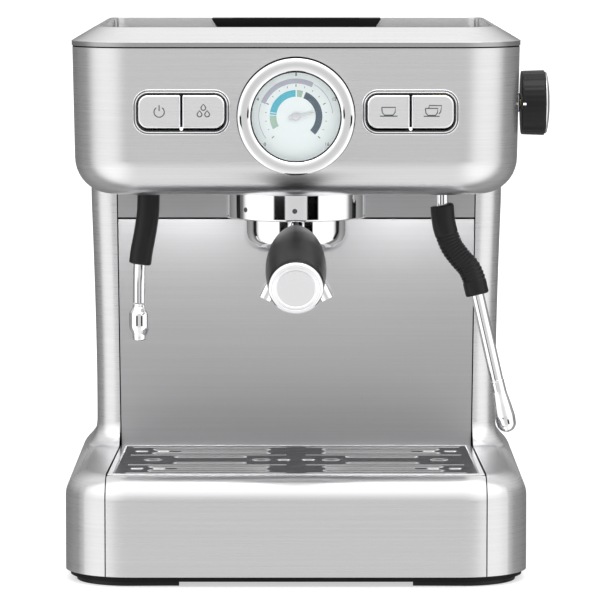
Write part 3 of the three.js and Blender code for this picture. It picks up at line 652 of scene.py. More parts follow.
def base_edge(inset):
    """Heights and plans up the rounded upper edge of the base."""
    fillet = BASE.fillet - inset
    start = BASE.top - BASE.fillet
    for angle in np.radians(np.linspace(0, 90, 13)):
        yield start + fillet * math.sin(angle), base_plan(inset + fillet * (1 - math.cos(angle)))


def casing_block(inset, bottom, top):
    """The base and the column as one form, with the column running into the base."""
    deck_z = BASE.top - inset
    rings = [body_ring(bottom, base_plan(inset))]
    for z, plan in base_edge(inset):
        rings.append(body_ring(z, plan, column_plan(inset, z)))
    for z in np.linspace(deck_z, FLARE.top, 11):
        rings.append(body_ring(z, column_plan(inset, z)))
    for z in np.linspace(FLARE.top, top, 14)[1:]:
        rings.append(body_ring(z, column_plan(inset, z)))
    return loft("casing_block", rings)


def slot_block(clearance, bottom, top):
    slope = (SLOT.back_half - SLOT.front_half) / (COLUMN.front - BASE.front)
    half_at = lambda y: SLOT.front_half + slope * (y - BASE.front) - clearance
    y0, y1 = BASE.front - 20, COLUMN.front - clearance
    plan = np.array([(-half_at(y0), y0), (half_at(y0), y0), (half_at(y1), y1), (-half_at(y1), y1)])
    return loft("slot", [at_height(plan, bottom), at_height(plan, top)])


def splash_outline(clearance, z0, z1):
    def half_at(z):
        t = (z - BASE.top) / (HEAD.bottom - BASE.top)
        return SPLASH.half_bottom + t * (SPLASH.half_top - SPLASH.half_bottom) - clearance
    return np.array([(-half_at(z0), z0), (half_at(z0), z0), (half_at(z1), z1), (-half_at(z1), z1)])


def side_panel(side, word):
    """One side of the column and base, for side 1 on the right and -1 on the left."""
    panel = casing_block(0, BASE.bottom, COLUMN.top)
    cut(panel, casing_block(WALL, BASE.bottom - 5, COLUMN.top + 10))
    cut(
        panel,
        slot_block(0, 0, 120),
        plate("window", splash_outline(0, BASE.top - 4, HEAD.bottom + 10), [], -8, 30, 0.01,
              upright=COLUMN.front),
        block(-REAR_OPENING, REAR_OPENING, 100, 160, 0, 300),
        block(*sorted((-200 * side, 20 * side)), -200, 200, -10, 400),
        head_block(-GAP, HEAD.bottom - GAP, HEAD.top),
    )
    piece(panel, STEEL, f"side_panel_{word}")
    panel.name = f"casing_side_{word}"


side_panel(1, "right")
side_panel(-1, "left")


def base_block(inset, bottom):
    rings = [at_height(base_plan(inset), bottom)]
    rings += [at_height(plan, z) for z, plan in base_edge(inset)]
    return loft("base_block", rings)


tray_front = base_block(0, BASE.bottom)
cut(tray_front, base_block(WALL, BASE.bottom - 10))
combine(tray_front, [slot_block(SEAM, 0, 100)], "INTERSECT")
cut(tray_front, block(-200, 200, BASE.front + BASE.fillet - 1.5, 200, -10, 100))
tray_front.name = "tray_fascia"
piece(tray_front, STEEL, "drip_tray_front", body="tray")

splash_half = SPLASH.thick / 2
splash, upper = (
    plate(name, splash_outline(SEAM, z0, z1), [], -splash_half, splash_half, 0.3,
          upright=COLUMN.front + splash_half)
    for name, z0, z1 in (("splash_sheet", BASE.top - 2, SPLASH.seam - 0.6),
                         ("upper_sheet", SPLASH.seam + 0.6, HEAD.bottom - GAP)))
# The splash and upper panels take the darker steel: painted shade.
piece(splash, STEEL_SPLASH_SHADED, "splash_panel")
piece(upper, STEEL_SPLASH_SHADED, "upper_panel")


def rear_sheet():
    low, high = near("rear_cover")
    outer = rounded_plan(high.x, low.z, high.z, 3, steps=4)
    holes = [*slot_rows(34, 2, 1.95, 5, 52, 62, 12), arc(95, 34, 7.5, 0, 360 * 31 / 32, 32)]
    half = (high.y - low.y) / 2
    return plate("rear_sheet", outer, holes, -half, half, 0.4, upright=(low.y + high.y) / 2)


piece(rear_sheet(), STEEL, "rear_cover")


# ---- underside: pan and feet
def foot_outline(side_x, side_y):
    """An L-shaped pad under one corner, with its inner end slanted."""
    plan = np.array([(92, 100), (78, 141), (110, 141.8), *arc(112, 106, 36, 90, 6, 12), (148, 100)])
    return plan * [side_x, side_y]


skirt_rings = [at_height(base_plan(inset), z) for inset, z in
               ((3.2, 3.6), (3.2, BASE.bottom + 1), (WALL + 3.4, BASE.bottom + 1), (WALL + 3.4, 3.6))]
piece(loft("pan_skirt", skirt_rings, closed=True), BLACK)

foot_high = near("foot_rear_right")[1].z
for word_y, side_y in (("front", -1), ("rear", 1)):
    for word_x, side_x in (("left", -1), ("right", 1)):
        pad = plate(f"pad_{word_y}_{word_x}", foot_outline(side_x, side_y), [], 0, foot_high, 0.4)
        piece(pad, RUBBER, f"foot_{word_y}_{word_x}")


# ---- drip grid
def stadium(x0, x1, y, half):
    """A round-ended outline lying across, from x0 to x1."""
    return rounded_plan((x1 - x0) / 2, -half, half, half * 0.98, steps=7) + [(x0 + x1) / 2, y]


def grid_openings():
    rows = [(18, 100, y, 3.4) for y in (-112, -92, -20, 0)] + [(34, 84, y, 3.4) for y in (-72, -40)]
    rows += [(x, x + 12, -56, 4.6) for x in (18, 92)]
    made = []
    for x0, x1, y, half in rows:
        made.append(stadium(x0, x1, y, half))
        made.append(stadium(-x1, -x0, y, half))
    return made


def bead(name, loop, z, radius):
    """A round bead along a closed outline."""
    ahead = np.roll(loop, -1, axis=0) - np.roll(loop, 1, axis=0)
    ahead /= np.linalg.norm(ahead, axis=1)[:, None]
    side = np.column_stack([ahead[:, 1], -ahead[:, 0]])
    rings = []
    for angle in np.linspace(0, 2 * math.pi, 10, endpoint=False):
        rings.append(at_height(loop + side * radius * math.cos(angle), z + radius * math.sin(angle)))
    return loft(name, rings, closed=True)


GRID = Sizes(front=BASE.front + BASE.fillet - 1, back=COLUMN.front - 0.8, front_half=126, back_half=123.2)


def trapezoid(inset):
    """The grid's outline, drawn in by inset."""
    y0, y1 = GRID.front + inset, GRID.back - inset
    half0, half1 = GRID.front_half - inset, GRID.back_half - inset
    return np.array([(-half0, y0), (half0, y0), (half1, y1), (-half1, y1)])


grid_low, grid_high = near("drip_grid")
field_top = grid_high.z - 0.7
holes = grid_openings()
field = plate("grid_field", trapezoid(2.5), holes, grid_high.z - 1.5, field_top, 0.15)
piece(field, STEEL_PRESSED_SHADED, "drip_grid", body="grid")
edge_foot = grid_high.z - 1.5
edge_outline = [(0, edge_foot), (0, grid_high.z), (3.6, grid_high.z), (5.2, edge_foot)]
edge_outline = soften(edge_outline, 0.5, 3, closed=True)
edge_rings = [at_height(trapezoid(inset), z) for inset, z in edge_outline]
border = loft("grid_border", edge_rings, closed=True, sharp=50)
piece(border, STEEL_RIM, body="grid")
beads = [bead("bead", hole, field_top - 0.05, 0.42) for hole in holes]
piece(join("grid_beads", beads), STEEL_RIM, body="grid")


def rib(x0, x1, y):
    """A long half-round stripe pressed up out of the field."""
    return bead("rib", stadium(x0, x1, y, 0.45), field_top - 0.1, 0.42)


def stud(x0, x1, y):
    """A bright oval bump between the openings."""
    rings = [at_height(stadium(x0 + inset, x1 - inset, y, 2.6 - inset), field_top + rise)
             for inset, rise in ((0, -0.3), (0, 0.25), (0.35, 0.5), (1.2, 0.62))]
    return loft("stud", rings, sharp=60)


rib_rows = [(7, 114, y) for y in (-124, -82, -30, 12)] + [(20, 80, y) for y in (-102, -10)]
stud_spots = [(4, 13, -56)] + [(x, x + 9, y) for x in (88, 103) for y in (-102, -10)]
ribs = [rib(x0, x1, y) for x0, x1, y in rib_rows] + [rib(-x1, -x0, y) for x0, x1, y in rib_rows]
studs = [stud(x0, x1, y) for x0, x1, y in stud_spots] + [stud(-x1, -x0, y) for x0, x1, y in stud_spots]
piece(join("grid_ribs", ribs), STEEL_RIM, body="grid")
piece(join("grid_studs", studs), CHROME, body="grid", slot="casing_steel")


def skirt_plan(inset):
    return rounded_plan(115.8 - inset, -128 + inset, 16.8 - inset, 9 - inset, 5 - inset)


skirt_high = grid_high.z - 1.6
skirt_section = [(0, grid_low.z), (0, skirt_high), (1.8, skirt_high), (1.8, grid_low.z)]
skirt = loft("grid_skirt", [at_height(skirt_plan(inset), z)
                            for inset, z in skirt_section], closed=True)
piece(skirt, STEEL_PRESSED_SHADED, body="grid")

# ---- pressure gauge
FACE = (0, front, gauge.z)


def face_ring(name, inner, outer, low, high):
    profile = soften([(inner, low), (outer, low), (outer, high), (inner, high)], 0.15, 2, closed=True)
    return turn(name, profile, FACE, USER, 96)


def dome(inner, outer, low, high):
    """The rounded front of a ring, as [radius, height] points from its outer edge to its inner edge."""
    centre, half = (inner + outer) / 2, (outer - inner) / 2
    return [(centre + half * math.cos(t), low + (high - low) * math.sin(t) ** 0.7)
            for t in np.linspace(0.02, math.pi - 0.02, 18)]


lens_edge = dial_radius - 0.9
bezel_profile = [(dial_radius + 0.8, GAP), (gauge_radius, GAP), *dome(lens_edge, gauge_radius, 11, 13),
                 (lens_edge, 10.9), (dial_radius + 0.8, 10.9)]
piece(turn("bezel", bezel_profile, FACE, USER, 128, 50), CHROME, "gauge_bezel")
# Painted shadow: a black ring round the bezel's outer edge stands in for the shadow line round it.
piece(face_ring("bezel_shadow_ring", gauge_radius - 1.5, gauge_radius + 0.7, 0.02, 0.36), GROOVE)
piece(face_ring("lens_seal", lens_edge - 0.6, lens_edge + 0.1, 10.85, 11.5), GROOVE)
dial_face = front - near("gauge_dial")[0].y


def polar(radius, degrees):
    angle = math.radians(degrees)
    return radius * math.cos(angle), gauge.z + radius * math.sin(angle)


def arc_outline(inner, outer, start, end):
    steps = max(3, int(abs(end - start) / 4))
    angles = np.linspace(start, end, steps)
    return np.array([polar(outer, a) for a in angles] + [polar(inner, a) for a in angles[::-1]])


def printed(name, outlines, material):
    marks = [plate("mark", outline, [], 0, 0.12, 0.02, upright=front - dial_face) for outline in outlines]
    piece(join(name, marks), material)


def tick(radius, length, degrees, width):
    centre = np.array(polar(radius, degrees))
    along = np.array([math.cos(math.radians(degrees)), math.sin(math.radians(degrees))])
    side = np.array([-along[1], along[0]])
    half = width / 2
    return np.array([centre - side * half, centre + along * length - side * half,
                     centre + along * length + side * half, centre + side * half])


dial_profile = [(0, dial_face - 1), (dial_radius, dial_face - 1), (dial_radius, dial_face), (0, dial_face)]
piece(turn("dial_face", dial_profile, FACE, USER, 96), DIAL_GLOWING, "gauge_dial")
printed("dial_low_zone", [arc_outline(12.9, 17.3, 178, 209)], PRINT_GREEN)
printed("dial_brew_zone", [arc_outline(12.9, 17.3, 91, 170), arc_outline(12.9, 17.3, 172, 176)], PRINT_CYAN)
printed("dial_mid_zone", [arc_outline(12.9, 17.3, 74, 88)], PRINT_GREEN)
printed("dial_high_zone", [arc_outline(12.9, 17.3, -44, 68)], PRINT_SLATE)
printed("dial_outer_band", [arc_outline(21.6, 24.8, 62, 158), arc_outline(23.9, 24.3, 5, 60),
                            arc_outline(24.2, 24.6, 160, 216)], PRINT_LILAC)
ticks = [tick(19.4, 1.1 if k % 4 else 1.9, 222 - k * 66 / 4, 0.3 if k % 4 else 0.5) for k in range(17)]
printed("dial_ticks", ticks, PRINT_DARK)


def figure(number, x, z, depth):
    """A number standing upright on a face towards the user."""
    font = bpy.data.curves.new("figure", "FONT")
    font.body = str(number)
    font.size = 3.2
    font.align_x = "CENTER"
    font.align_y = "CENTER"
    font.extrude = 0.05
    points, faces = taken_from(add("figure", font))
    return put("figure", standing(points + [x, z, 0.06], depth), faces)


figures = []
for k, number in enumerate((0, 4, 8, 12, 16)):
    x, z = polar(27.4, 222 - k * 66)
    figures.append(figure(number, x, z, front - dial_face))
piece(join("dial_figures", figures), PRINT_DARK)


NEEDLE_READING = math.radians(13)


def needle_piece():
    outline = np.array([(-5, -1.2), (10, -0.62), (14, 0), (10, 0.62), (-5, 1.2)])
    high = near("gauge_needle")[1]
    cosine, sine = math.cos(NEEDLE_READING), math.sin(NEEDLE_READING)
    turned = outline @ np.array([[cosine, sine], [-sine, cosine]])
    blade = plate("blade", turned + [0, gauge.z], [], 0.2, 1.0, 0.15, upright=high.y)
    hub_profile = soften([(0, 0.05), (2.6, 0.05), (2.6, 1.3), (0, 1.6)], 0.4)
    hub = turn("hub", hub_profile, (0, high.y, gauge.z), USER, 40)
    return join("pointer", [blade, hub])


piece(needle_piece(), ALUMINIUM, "gauge_needle", body="needle")
lens_profile = [(0, 9.25), (dial_radius, 9.25), (dial_radius, 10.0), (dial_radius - 6, 10.8),
                (dial_radius - 16, 11.2), (0, 11.3)]
piece(turn("lens", lens_profile, FACE, USER, 96, 60), GLASS, "gauge_lens")


# ---- push buttons
KEY_HEIGHT = 3.2


def stroke(points, closed=False):
    """A raised line on the button faces through [x, z] points."""
    path = [(x, front - KEY_HEIGHT + 0.12, z) for x, z in points]
    if closed:
        path.append(path[0])
    return sweep("stroke", np.array(path), lambda done, whole: 0.42, 8)


def power_icon(x, z):
    return [stroke(arc(x, z - 0.3, 3.4, 125, 415, 20)), stroke([(x, z + 0.4), (x, z + 4.2)])]


def drops_icon(x, z):
    drops = []
    for dx, dz in ((0, 2.4), (-2.5, -1.9), (2.5, -1.9)):
        drops.append(stroke(arc(x + dx, z + dz, 1.55, -215, 35, 20) + [(x + dx, z + dz + 2.5)], closed=True))
    return drops


def cup_icon(x, z, size=1.0):
    bowl = [(-4.6, 2.8), (-4.2, -0.6), (-2.8, -2.3), (2.8, -2.3), (4.2, -0.6), (4.6, 2.8), (-4.6, 2.8)]
    saucer = [(-5.8, -3), (5.8, -3)]
    return [stroke([(x + size * a, z + size * b) for a, b in line]) for line in (bowl, saucer)]


def half_button(name, node, split_side, icon):
    """One key with its raised icon, riding on the body that has the key's name."""
    plan = button_half_plan(node, split_side)
    cap = plate(name, plan, [], -4, KEY_HEIGHT, 1.3, upright=front, sharp=60, rounding=4)
    piece(cap, STEEL_BUTTON, node, body=name)
    centre = middle(node)
    marks = join(name + "_icon", icon(centre.x, centre.z + 0.6))
    piece(marks, PRINT_DARK, body=name, slot="black_plastic")


def button_half_plan(node, split_side):
    """One key's outline: rounded on its outer side, and nearly square where it meets its neighbour."""
    low, high = near(node)
    big, small = 6.6, 1.1
    z0, z1 = low.z + 1.1, high.z - 0.15
    x0, x1 = low.x + 0.15, high.x - 0.15
    left, right = (big, small) if split_side > 0 else (small, big)
    points = []
    corners = ((x1 - right, z0 + right, right, -90), (x1 - right, z1 - right, right, 0),
               (x0 + left, z1 - left, left, 90), (x0 + left, z0 + left, left, 180))
    for x, z, radius, start in corners:
        points += arc(x, z, radius, start, start + 90, 9)
    return np.array(points)


def two_cups_icon(x, z):
    second = [(x - 2.6, z + 2.4), (x - 2.4, z + 4), (x + 5.8, z + 4), (x + 5.2, z), (x + 4, z - 1.6)]
    return cup_icon(x - 0.8, z - 0.4, 0.9) + [stroke(second)]


half_button("power_key", "power_button", 1, power_icon)
half_button("manual_key", "manual_brew_button", -1, drops_icon)
half_button("single_key", "single_cup_button", 1, cup_icon)
half_button("double_key", "double_cup_button", -1, two_cups_icon)
for side, word in ((-1, "left"), (1, "right")):
    ridges = [plate("ridge", button_plan(side, outer, 10), [button_plan(side, inner, 10)], 0.4, high, bevel,
                    upright=front, sharp=60, rounding=3)
              for outer, inner, high, bevel in ((3.4, 2.75, 1.5, 0.3), (2, 1.2, 1.8, 0.35))]
    piece(join(f"key_frame_{word}", ridges), CHROME, f"button_frame_{word}")
    # The channel between the ridges is in the dark steel copy: painted shade.
    channel = plate(f"key_channel_{word}", button_plan(side, 2.8, 10), [button_plan(side, 1.9, 10)],
                    0.4, 0.8, 0.05, upright=front)
    piece(channel, STEEL_CHANNEL_SHADED)
    # A dark ring in the gap round the keys: painted shade.
    gap_shade = plate(f"key_gap_shade_{word}", button_plan(side, 1.5, 10), [button_plan(side, 0.35, 10)],
                  -1.5, 0.9, 0.1, upright=front)
    piece(gap_shade, GAP_SHADE)
    lamp = near(f"indicator_lamp_{word}")
    lens_at = ((lamp[0].x + lamp[1].x) / 2, front, (lamp[0].z + lamp[1].z) / 2)
    dome = [(0, -2), (1.1, -2), (1.1, 1.9), (0.9, 2.2), (0, 2.4)]
    piece(turn(f"lamp_{word}", dome, lens_at, USER, 24, 50), LAMP, f"indicator_lamp_{word}")

# ---- steam knob
KNOB_X = Sizes(inner=152, outer=167.8, end=171.2, radius=22)
knob_centre = (0, knob.y, knob.z)
radius = KNOB_X.radius
knob_profile = soften([
    (0, 162), (3.3, 162), (3.3, KNOB_X.inner), (radius - 0.6, KNOB_X.inner), (radius - 0.4, KNOB_X.inner + 2),
    (radius, KNOB_X.outer - 0.5), (radius - 0.6, KNOB_X.outer), (0, KNOB_X.outer),
], 0.7, 3)


def flutes(angle, height):
    """Shallow grooves round the knob's grip."""
    return 1 - 0.012 * (0.5 + 0.5 * math.cos(36 * angle)) if 154 < height < 166 else 1.0


piece(turn("knob_body", knob_profile, knob_centre, RIGHT, 288, 40, flutes),
      BLACK_SOFT, "steam_knob", body="knob")
cap_profile = soften([
    (0, KNOB_X.outer + GAP), (radius - 0.8, KNOB_X.outer + GAP), (radius - 1.6, KNOB_X.outer + 1.5),
    (radius - 5, KNOB_X.end - 1.1), (radius - 12, KNOB_X.end - 0.2), (0, KNOB_X.end),
], 1.2, 5)
piece(turn("knob_end", cap_profile, knob_centre, RIGHT, 96, 40), CHROME, "knob_cap", body="knob")
boss_profile = [(3.5, 148.6), (6.4, 148.6), (6.4, 150.8), (5, 151.6), (3.5, 151.6)]
boss_profile = soften(boss_profile, 0.4, 2, closed=True)
piece(turn("knob_boss", boss_profile, knob_centre, RIGHT, 48, 50), CHROME_SATIN)
# Painted glow: the knob's mark takes the glowing lamp finish, though it is no lamp.
mark = block(152.6, 154.6, knob.y - radius - 0.02, knob.y - radius + 0.6, knob.z - 0.7, knob.z + 0.7)
mark.name = "knob_glowing_mark"
piece(mark, LAMP, body="knob")

# ---- group and portafilter
GROUP = (0, GROUP_Y, 0)
collar_low, collar_high = near("group_collar")
collar_radius = (collar_high.x - collar_low.x) / 2
bottom = collar_low.z
LUG = Sizes(bottom=245.2, top=249, radius=43.2, width=30)
LUG_ANGLES = (90, 210, 330)


def sector(radius, low, high, angle, width):
    plan = np.array([(0, GROUP_Y), *arc(0, GROUP_Y, radius, angle - width / 2, angle + width / 2, 14)])
    return loft("sector", [at_height(plan, low), at_height(plan, high)])


collar_profile = soften([
    (37, bottom), (collar_radius - 0.8, bottom), (collar_radius, bottom + 0.8),
    (collar_radius, collar_high.z), (44.4, collar_high.z), (44.4, bottom + 3.2), (37, bottom + 3.2),
], 0.6, 3, closed=True)
collar = turn("collar", collar_profile, GROUP, UP, 128, 40)
entries = [sector(LUG.radius + 0.6, bottom - 2, bottom + 5, angle - 45, LUG.width * 1.25)
           for angle in LUG_ANGLES]
cut(collar, *entries, sharp=40)
piece(collar, CHROME, "group_collar")
dots = []
for angle in np.radians((-1, -45)):
    away = Vector((math.sin(angle), -math.cos(angle), 0))
    dots.append(turn("dot", [(0, -0.2), (1.7, -0.2), (1.7, 0.02), (0, 0.02)],
                     Vector((0, GROUP_Y, bottom + 7.2)) + away * collar_radius, away, 24))
piece(join("collar_dots", dots), PRINT_DARK, slot="black_plastic")

bowl_radius = 36
bowl_profile = soften([
    (3.6, 214), (10, 214), (12, 216.4), (24, 218.4), (31, 221.5), (35, 226.5), (bowl_radius, 231.5),
    (bowl_radius, LUG.top), (30.6, LUG.top), (30.6, 229), (28.6, 224.8), (25, 221.8), (3.6, 219.8),
], 2.2, 4, closed=True)
bowl = turn("filter_holder", bowl_profile, GROUP, UP, 128, 30)


def well():
    """The room for the filter basket, cut out of what reaches into the bowl."""
    return turn("well", [(0, 200), (31.5, 200), (31.5, 262), (0, 262)], GROUP, UP, 64)


lugs = [cut(sector(LUG.radius, LUG.bottom, LUG.top, angle, LUG.width), well()) for angle in LUG_ANGLES]

HANDLE = Sizes(start=13.6, length=108, axis_z=236, pitch=16.2)
pitch = math.radians(HANDLE.pitch)
handle_axis = (0, -math.cos(pitch), -math.sin(pitch))
handle_root = (0, GROUP_Y - bowl_radius, HANDLE.axis_z)
neck_profile = soften([(0, -6), (5.6, -6), (5.6, 22), (0, 22)], 0.4)
neck = cut(turn("neck", neck_profile, handle_root, handle_axis, 40), well())
piece(join("filter_holder", [bowl, neck, *lugs]), CHROME, "portafilter_bowl", body="portafilter")
length = HANDLE.length
handle_profile = soften([
    (6, HANDLE.start), (8.4, HANDLE.start), (9.2, 17), (12.8, 27), (16, 38), (18.6, 52), (20, 68), (19.9, 84),
    (18.8, 98), (17.7, length), (0, length),
], 7, 6)
piece(turn("grip_body", handle_profile, handle_root, handle_axis, 96, 40),
      BLACK_SOFT, "portafilter_handle", body="portafilter")
cap_profile = soften([
    (0, length + GAP), (17.6, length + GAP), (17.9, length + 1.2), (17.8, length + 2.1), (16.4, length + 3.2),
    (15, length + 3.2), (14.7, length + 2.4), (14.3, length + 2.4), (14, length + 3), (13, length + 3),
    (12.6, length + 2.2), (0, length + 2.2),
], 0.35, 3)
piece(turn("grip_cap", cap_profile, handle_root, handle_axis, 96, 35),
      CHROME, "handle_cap", body="portafilter")
disc = [(0, length + 2), (12.3, length + 2), (12.3, length + 2.4), (0, length + 2.55)]
piece(turn("grip_cap_disc", disc, handle_root, handle_axis, 72), CHROME_SATIN, body="portafilter")


def spout_arm(side, radius, end):
    points = [(0, 205), (7, 203.6), (13, 199.4), (17.6, 193), (21.2, end)]
    path = smooth_path([(side * x, GROUP_Y, z) for x, z in points], 6)
    return sweep("arm", path, lambda done, whole: radius, 32)


spout_profile = soften([(0, 196), (7.4, 196), (7.4, 200), (9.4, 201), (9.4, 213.6), (0, 213.6)], 0.8)
spout = turn("spout", spout_profile, GROUP, UP, 56)
combine(spout, [spout_arm(-1, 5.4, 185.8), spout_arm(1, 5.4, 185.8)], "UNION")
cut(spout, spout_arm(-1, 4.2, 184), spout_arm(1, 4.2, 184), sharp=40)
piece(spout, CHROME, "twin_spout", body="portafilter")

# ---- steam wand and hot water pipe
steam_points = [(x, WAND.y + dy, z) for x, dy, z in (
    (98.8, 0, 270), (98.8, 0, 258), (99, 0, 249), (99.8, 0, 240), (101.6, 0, 232), (105.4, -0.5, 222.4),
    (111.2, -1.5, 214.4), (117, -2.6, 207.8), (120.2, -3.6, 201), (121.9, -4.4, 194), (126.4, -6, 174.4),
    (132, -8, 150), (137.4, -10, 126))]
steam_sleeve = [(98.8, WAND.y, 250.5), *steam_points[2:10], (123, WAND.y - 4.8, 189.4)]
water_points = [(x, WATER.y - 0.3 * i, z) for i, (x, z) in enumerate((
    (-100, 272), (-100, 258), (-100.2, 248), (-101, 240), (-102.6, 230), (-104.7, 219), (-105.9, 210),
    (-106.2, 200), (-106.3, 184)))]
water_sleeve = [(-100, WATER.y - 0.2, 264), *water_points[1:7]]


SLEEVE_ROUNDING = 1.6


def ribbed(radius, start, end, pitch_mm, depth):
    """A sleeve with round ribs between two distances along it, and rounded ends."""
    def radius_at(done, whole):
        r = radius
        if start < done < end:
            r -= depth * (0.5 - 0.5 * math.cos(2 * math.pi * (done - start) / pitch_mm))
        edge = min(done, whole - done)
        if edge < SLEEVE_ROUNDING:
            r -= hollow(SLEEVE_ROUNDING, SLEEVE_ROUNDING - max(0, edge))
        return r
    return radius_at


def pipe(points, radius):
    return sweep("pipe", spaced(smooth_path(points, 10), 1.5), lambda done, whole: radius, 40)


def sleeve(name, points, radius_at):
    return sweep(name, spaced(smooth_path(points, 10), 0.35), radius_at, 40, sharp=70)


steam_pipe = pipe(steam_points, WAND.radius)
steam_pipe.name = "wand_pipe"
piece(steam_pipe, CHROME, "steam_wand_tube", body="steam_wand")
piece(sleeve("wand_sleeve", steam_sleeve, ribbed(WAND.grip, 20, 58, 2.4, 0.5)),
      RUBBER, "steam_wand_grip", body="steam_wand")
tip_axis = Vector((5.4, -2, -24)).normalized()
tip_profile = soften([
    (0, -6), (4.9, -6), (4.9, -5), (4.75, -4.6), (4.9, 3), (6, 11), (6.9, 20), (6.3, 26), (3.8, 29.2),
    (0, 30),
], 1.6, 5)
piece(turn("wand_tip", tip_profile, steam_points[-1], tip_axis, 56, 50),
      CHROME, "steam_wand_tip", body="steam_wand")

water_pipe = pipe(water_points, WATER.radius)
water_pipe.name = "water_pipe"
piece(water_pipe, CHROME, "hot_water_tube", body="hot_water_pipe")
piece(sleeve("water_sleeve", water_sleeve, ribbed(WATER.grip, 0, 0, 1, 0)),
      RUBBER, "hot_water_grip", body="hot_water_pipe")
bulb_profile = soften([
    (0, 0.5), (4.4, 0.5), (4.6, 3), (6.8, 6.6), (7, 8), (7, 16), (6.7, 17.6), (4.9, 21.6), (4.7, 23),
    (4.6, 25.6), (0, 25.6),
], 1.2, 4)
piece(turn("water_tip", bulb_profile, water_points[-1], (0, 0, -1), 56, 50),
      CHROME, "hot_water_tip", body="hot_water_pipe")


# ---- the CAD's own solids that stay in view
def refine(node, material, slot, bevel_mm):
    """Gives a CAD node its finish, even shading and, where asked, eased edges of a width in millimetres."""
    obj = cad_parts[node]
    obj.data.materials.clear()
    obj.data.materials.append(material)
    weld = obj.modifiers.new("weld", "WELD")
    weld.merge_threshold = 0.01 * MM
    obj.data.shade_smooth()
    if bevel_mm:
        ease = obj.modifiers.new("ease", "BEVEL")
        ease.width = bevel_mm * MM
        ease.segments = 2
        ease.limit_method = "ANGLE"
        ease.angle_limit = math.radians(40)
    split = obj.modifiers.new("split", "EDGE_SPLIT")
    split.split_angle = math.radians(35)


KEPT_NODES = (
    ("black_plastic", BLACK, dict(inner_frame=0, base_pan=0, drip_tray=0, gauge_case=0, tank_lid=0.4,
                                  steam_solenoid=0.5, pump=0.5)),
    ("tank_plastic", SMOKE, dict(water_tank=0)),
    ("rubber", RUBBER, dict(cord_gland=0.2, group_gasket=0)),
    ("casing_steel", CHROME_SATIN, dict(boiler=0.4, shower_screen=0, filter_basket=0)),
    ("brass", BRASS, dict(valve_spindle=0, steam_valve=0.3, wand_nut=0.3)),
    ("aluminium", ALUMINIUM, dict(group_head=0.3, steam_line=0)),
    ("silicone", SILICONE, dict(suction_hose=0, pressure_hose=0)),
    ("circuit_board", BOARD, dict(control_board=0)),
)
for slot, material, nodes in KEPT_NODES:
    for node, bevel_mm in nodes.items():
        refine(node, material, slot, bevel_mm)

# ---- stage, light and camera
FLOOR_HALF = 40  # metres


def stage():
    floor_mesh = bpy.data.meshes.new("floor")
    corners = [(x * FLOOR_HALF, y * FLOOR_HALF, 0) for x, y in ((-1, -1), (1, -1), (1, 1), (-1, 1))]
    floor_mesh.from_pydata(corners, [], [(0, 1, 2, 3)])
    floor = add("floor", floor_mesh)
    finish = Finish("pale_floor", (0.7, 0.7, 0.7), 0.6, emission_color=(1, 1, 1, 1), emission_strength=0.55)
    finish.vary_roughness(finish.noise((3, 3, 3)), 0.05)
    floor_mesh.materials.append(finish.material)
    floor.visible_glossy = False


class World(Nodes):
    """A soft studio all round: its brightness in each direction is worked out from smooth steps."""

    def __init__(self):
        bpy.context.scene.world = bpy.data.worlds.new("studio")
        super().__init__(bpy.context.scene.world)
        self.background = self.tree.nodes["Background"]
        self.set(self.background, "Color", (1, 1, 1, 1))
        split = self.node("ShaderNodeSeparateXYZ")
        self.link(self.node("ShaderNodeTexCoord").outputs["Generated"], split.inputs[0])
        self.x, self.y, self.z = split.outputs

    def math(self, operation, a, b=0.0):
        made = self.node("ShaderNodeMath", operation=operation)
        for socket, value in zip(made.inputs, (a, b)):
            if hasattr(value, "is_linked"):
                self.link(value, socket)
            else:
                socket.default_value = value
        return made.outputs[0]

    def step(self, value, start, end, low, high):
        return self.ramp(value, low, high, start, end, interpolation_type="SMOOTHSTEP")

    def show(self, strength):
        """Reflections and light see the studio; the camera sees plain white past the floor's edge."""
        mixed = self.node("ShaderNodeMix")
        self.link(self.node("ShaderNodeLightPath").outputs["Is Camera Ray"], mixed.inputs["Factor"])
        self.link(strength, mixed.inputs["A"])
        self.set(mixed, "B", 1)
        self.link(mixed.outputs["Result"], self.background.inputs["Strength"])


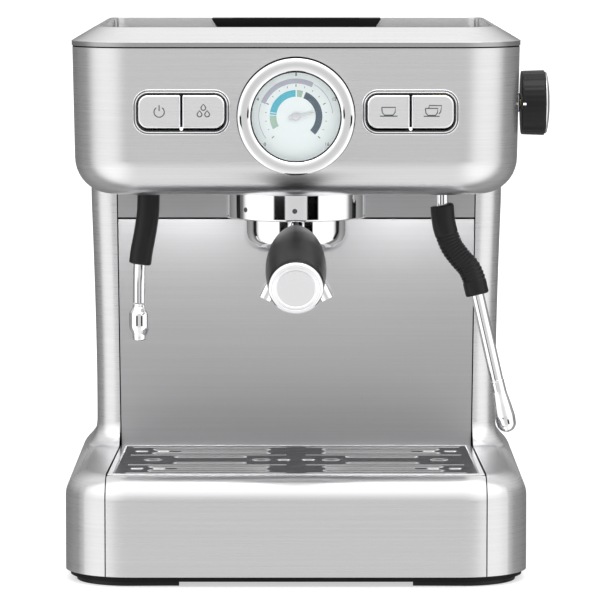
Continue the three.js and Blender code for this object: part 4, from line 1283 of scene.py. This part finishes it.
def studio():
    world = World()
    times = lambda a, b: world.math("MULTIPLY", a, b)
    plus = lambda a, b: world.math("ADD", a, b)
    distance = lambda value, centre: world.math("ABSOLUTE", world.math("SUBTRACT", value, centre))
    across = world.math("ABSOLUTE", world.x)
    floor = world.step(world.z, 0.0, -0.6, 0, LIGHT.floor)
    above = world.step(world.z, 0.0, 0.85, 0, LIGHT.above)
    sides = times(world.step(across, 0.15, 0.65, 0, LIGHT.sides), world.step(world.y, -0.15, 0.3, 1, 0))
    level = plus(plus(floor, sides), LIGHT.front)
    rear = times(world.step(world.y, -0.1, 0.4, 1, LIGHT.rear), world.step(world.y, 0.4, 0.8, 1, 0.6))
    side_shade = world.step(distance(world.y, 0.2), 0.04, 0.2, LIGHT.side_shade, 1)
    ahead = world.math("MAXIMUM", times(world.y, -1), 0.001)
    azimuth = world.math("DIVIDE", across, ahead)
    flags = times(world.step(azimuth, 0.3, 0.34, 0, 1), world.step(azimuth, 0.7, 0.78, 1, 0))
    flags = times(flags, world.step(distance(world.z, -0.08), 0.035, 0.05, LIGHT.flags, 0))
    level = times(times(level, times(rear, side_shade)), world.math("SUBTRACT", 1, flags))
    world.show(plus(level, above))


def area_light(name, place, target, size, power, only=()):
    """A rectangular lamp. With "only", it lights just those objects."""
    data = bpy.data.lights.new(name, "AREA")
    data.shape = "RECTANGLE"
    data.size, data.size_y = size
    data.energy = power
    lamp = add(name, data)
    lamp.location = ORIGIN + Vector(place) * MM
    aim = Vector(target) - Vector(place)
    lamp.rotation_euler = aim.to_track_quat("-Z", "Y").to_euler()
    lamp.visible_camera = False
    if only:
        receivers = bpy.data.collections.new(name + "_receivers")
        for obj in only:
            receivers.objects.link(obj)
        lamp.light_linking.receiver_collection = receivers


def camera():
    data = bpy.data.cameras.new("camera")
    eye = add("camera", data)
    data.sensor_width = 36
    data.lens = LENS
    data.clip_end = 100
    eye.location = ORIGIN + Vector(EYE) * MM
    eye.rotation_euler = (math.radians(90 - PITCH), 0, 0)
    bpy.context.scene.camera = eye


LIGHT = Sizes(front=0.66, floor=0.28, above=0.67, sides=0.48, rear=0.5, side_shade=0.3, flags=1.0)
EYE = (2.64, -2943, 450.1)
PITCH = 5.27
LENS = 254.46
stage()
studio()
area_light("overhead", (200, -500, 1900), (0, 0, 200), (1.6, 1.0), 8)
area_light("under_head", (0, -120, 258), (0, 24, 190), (0.26, 0.03), 0.6, only=[splash])
camera()
bpy.context.scene.view_settings.view_transform = "Standard"
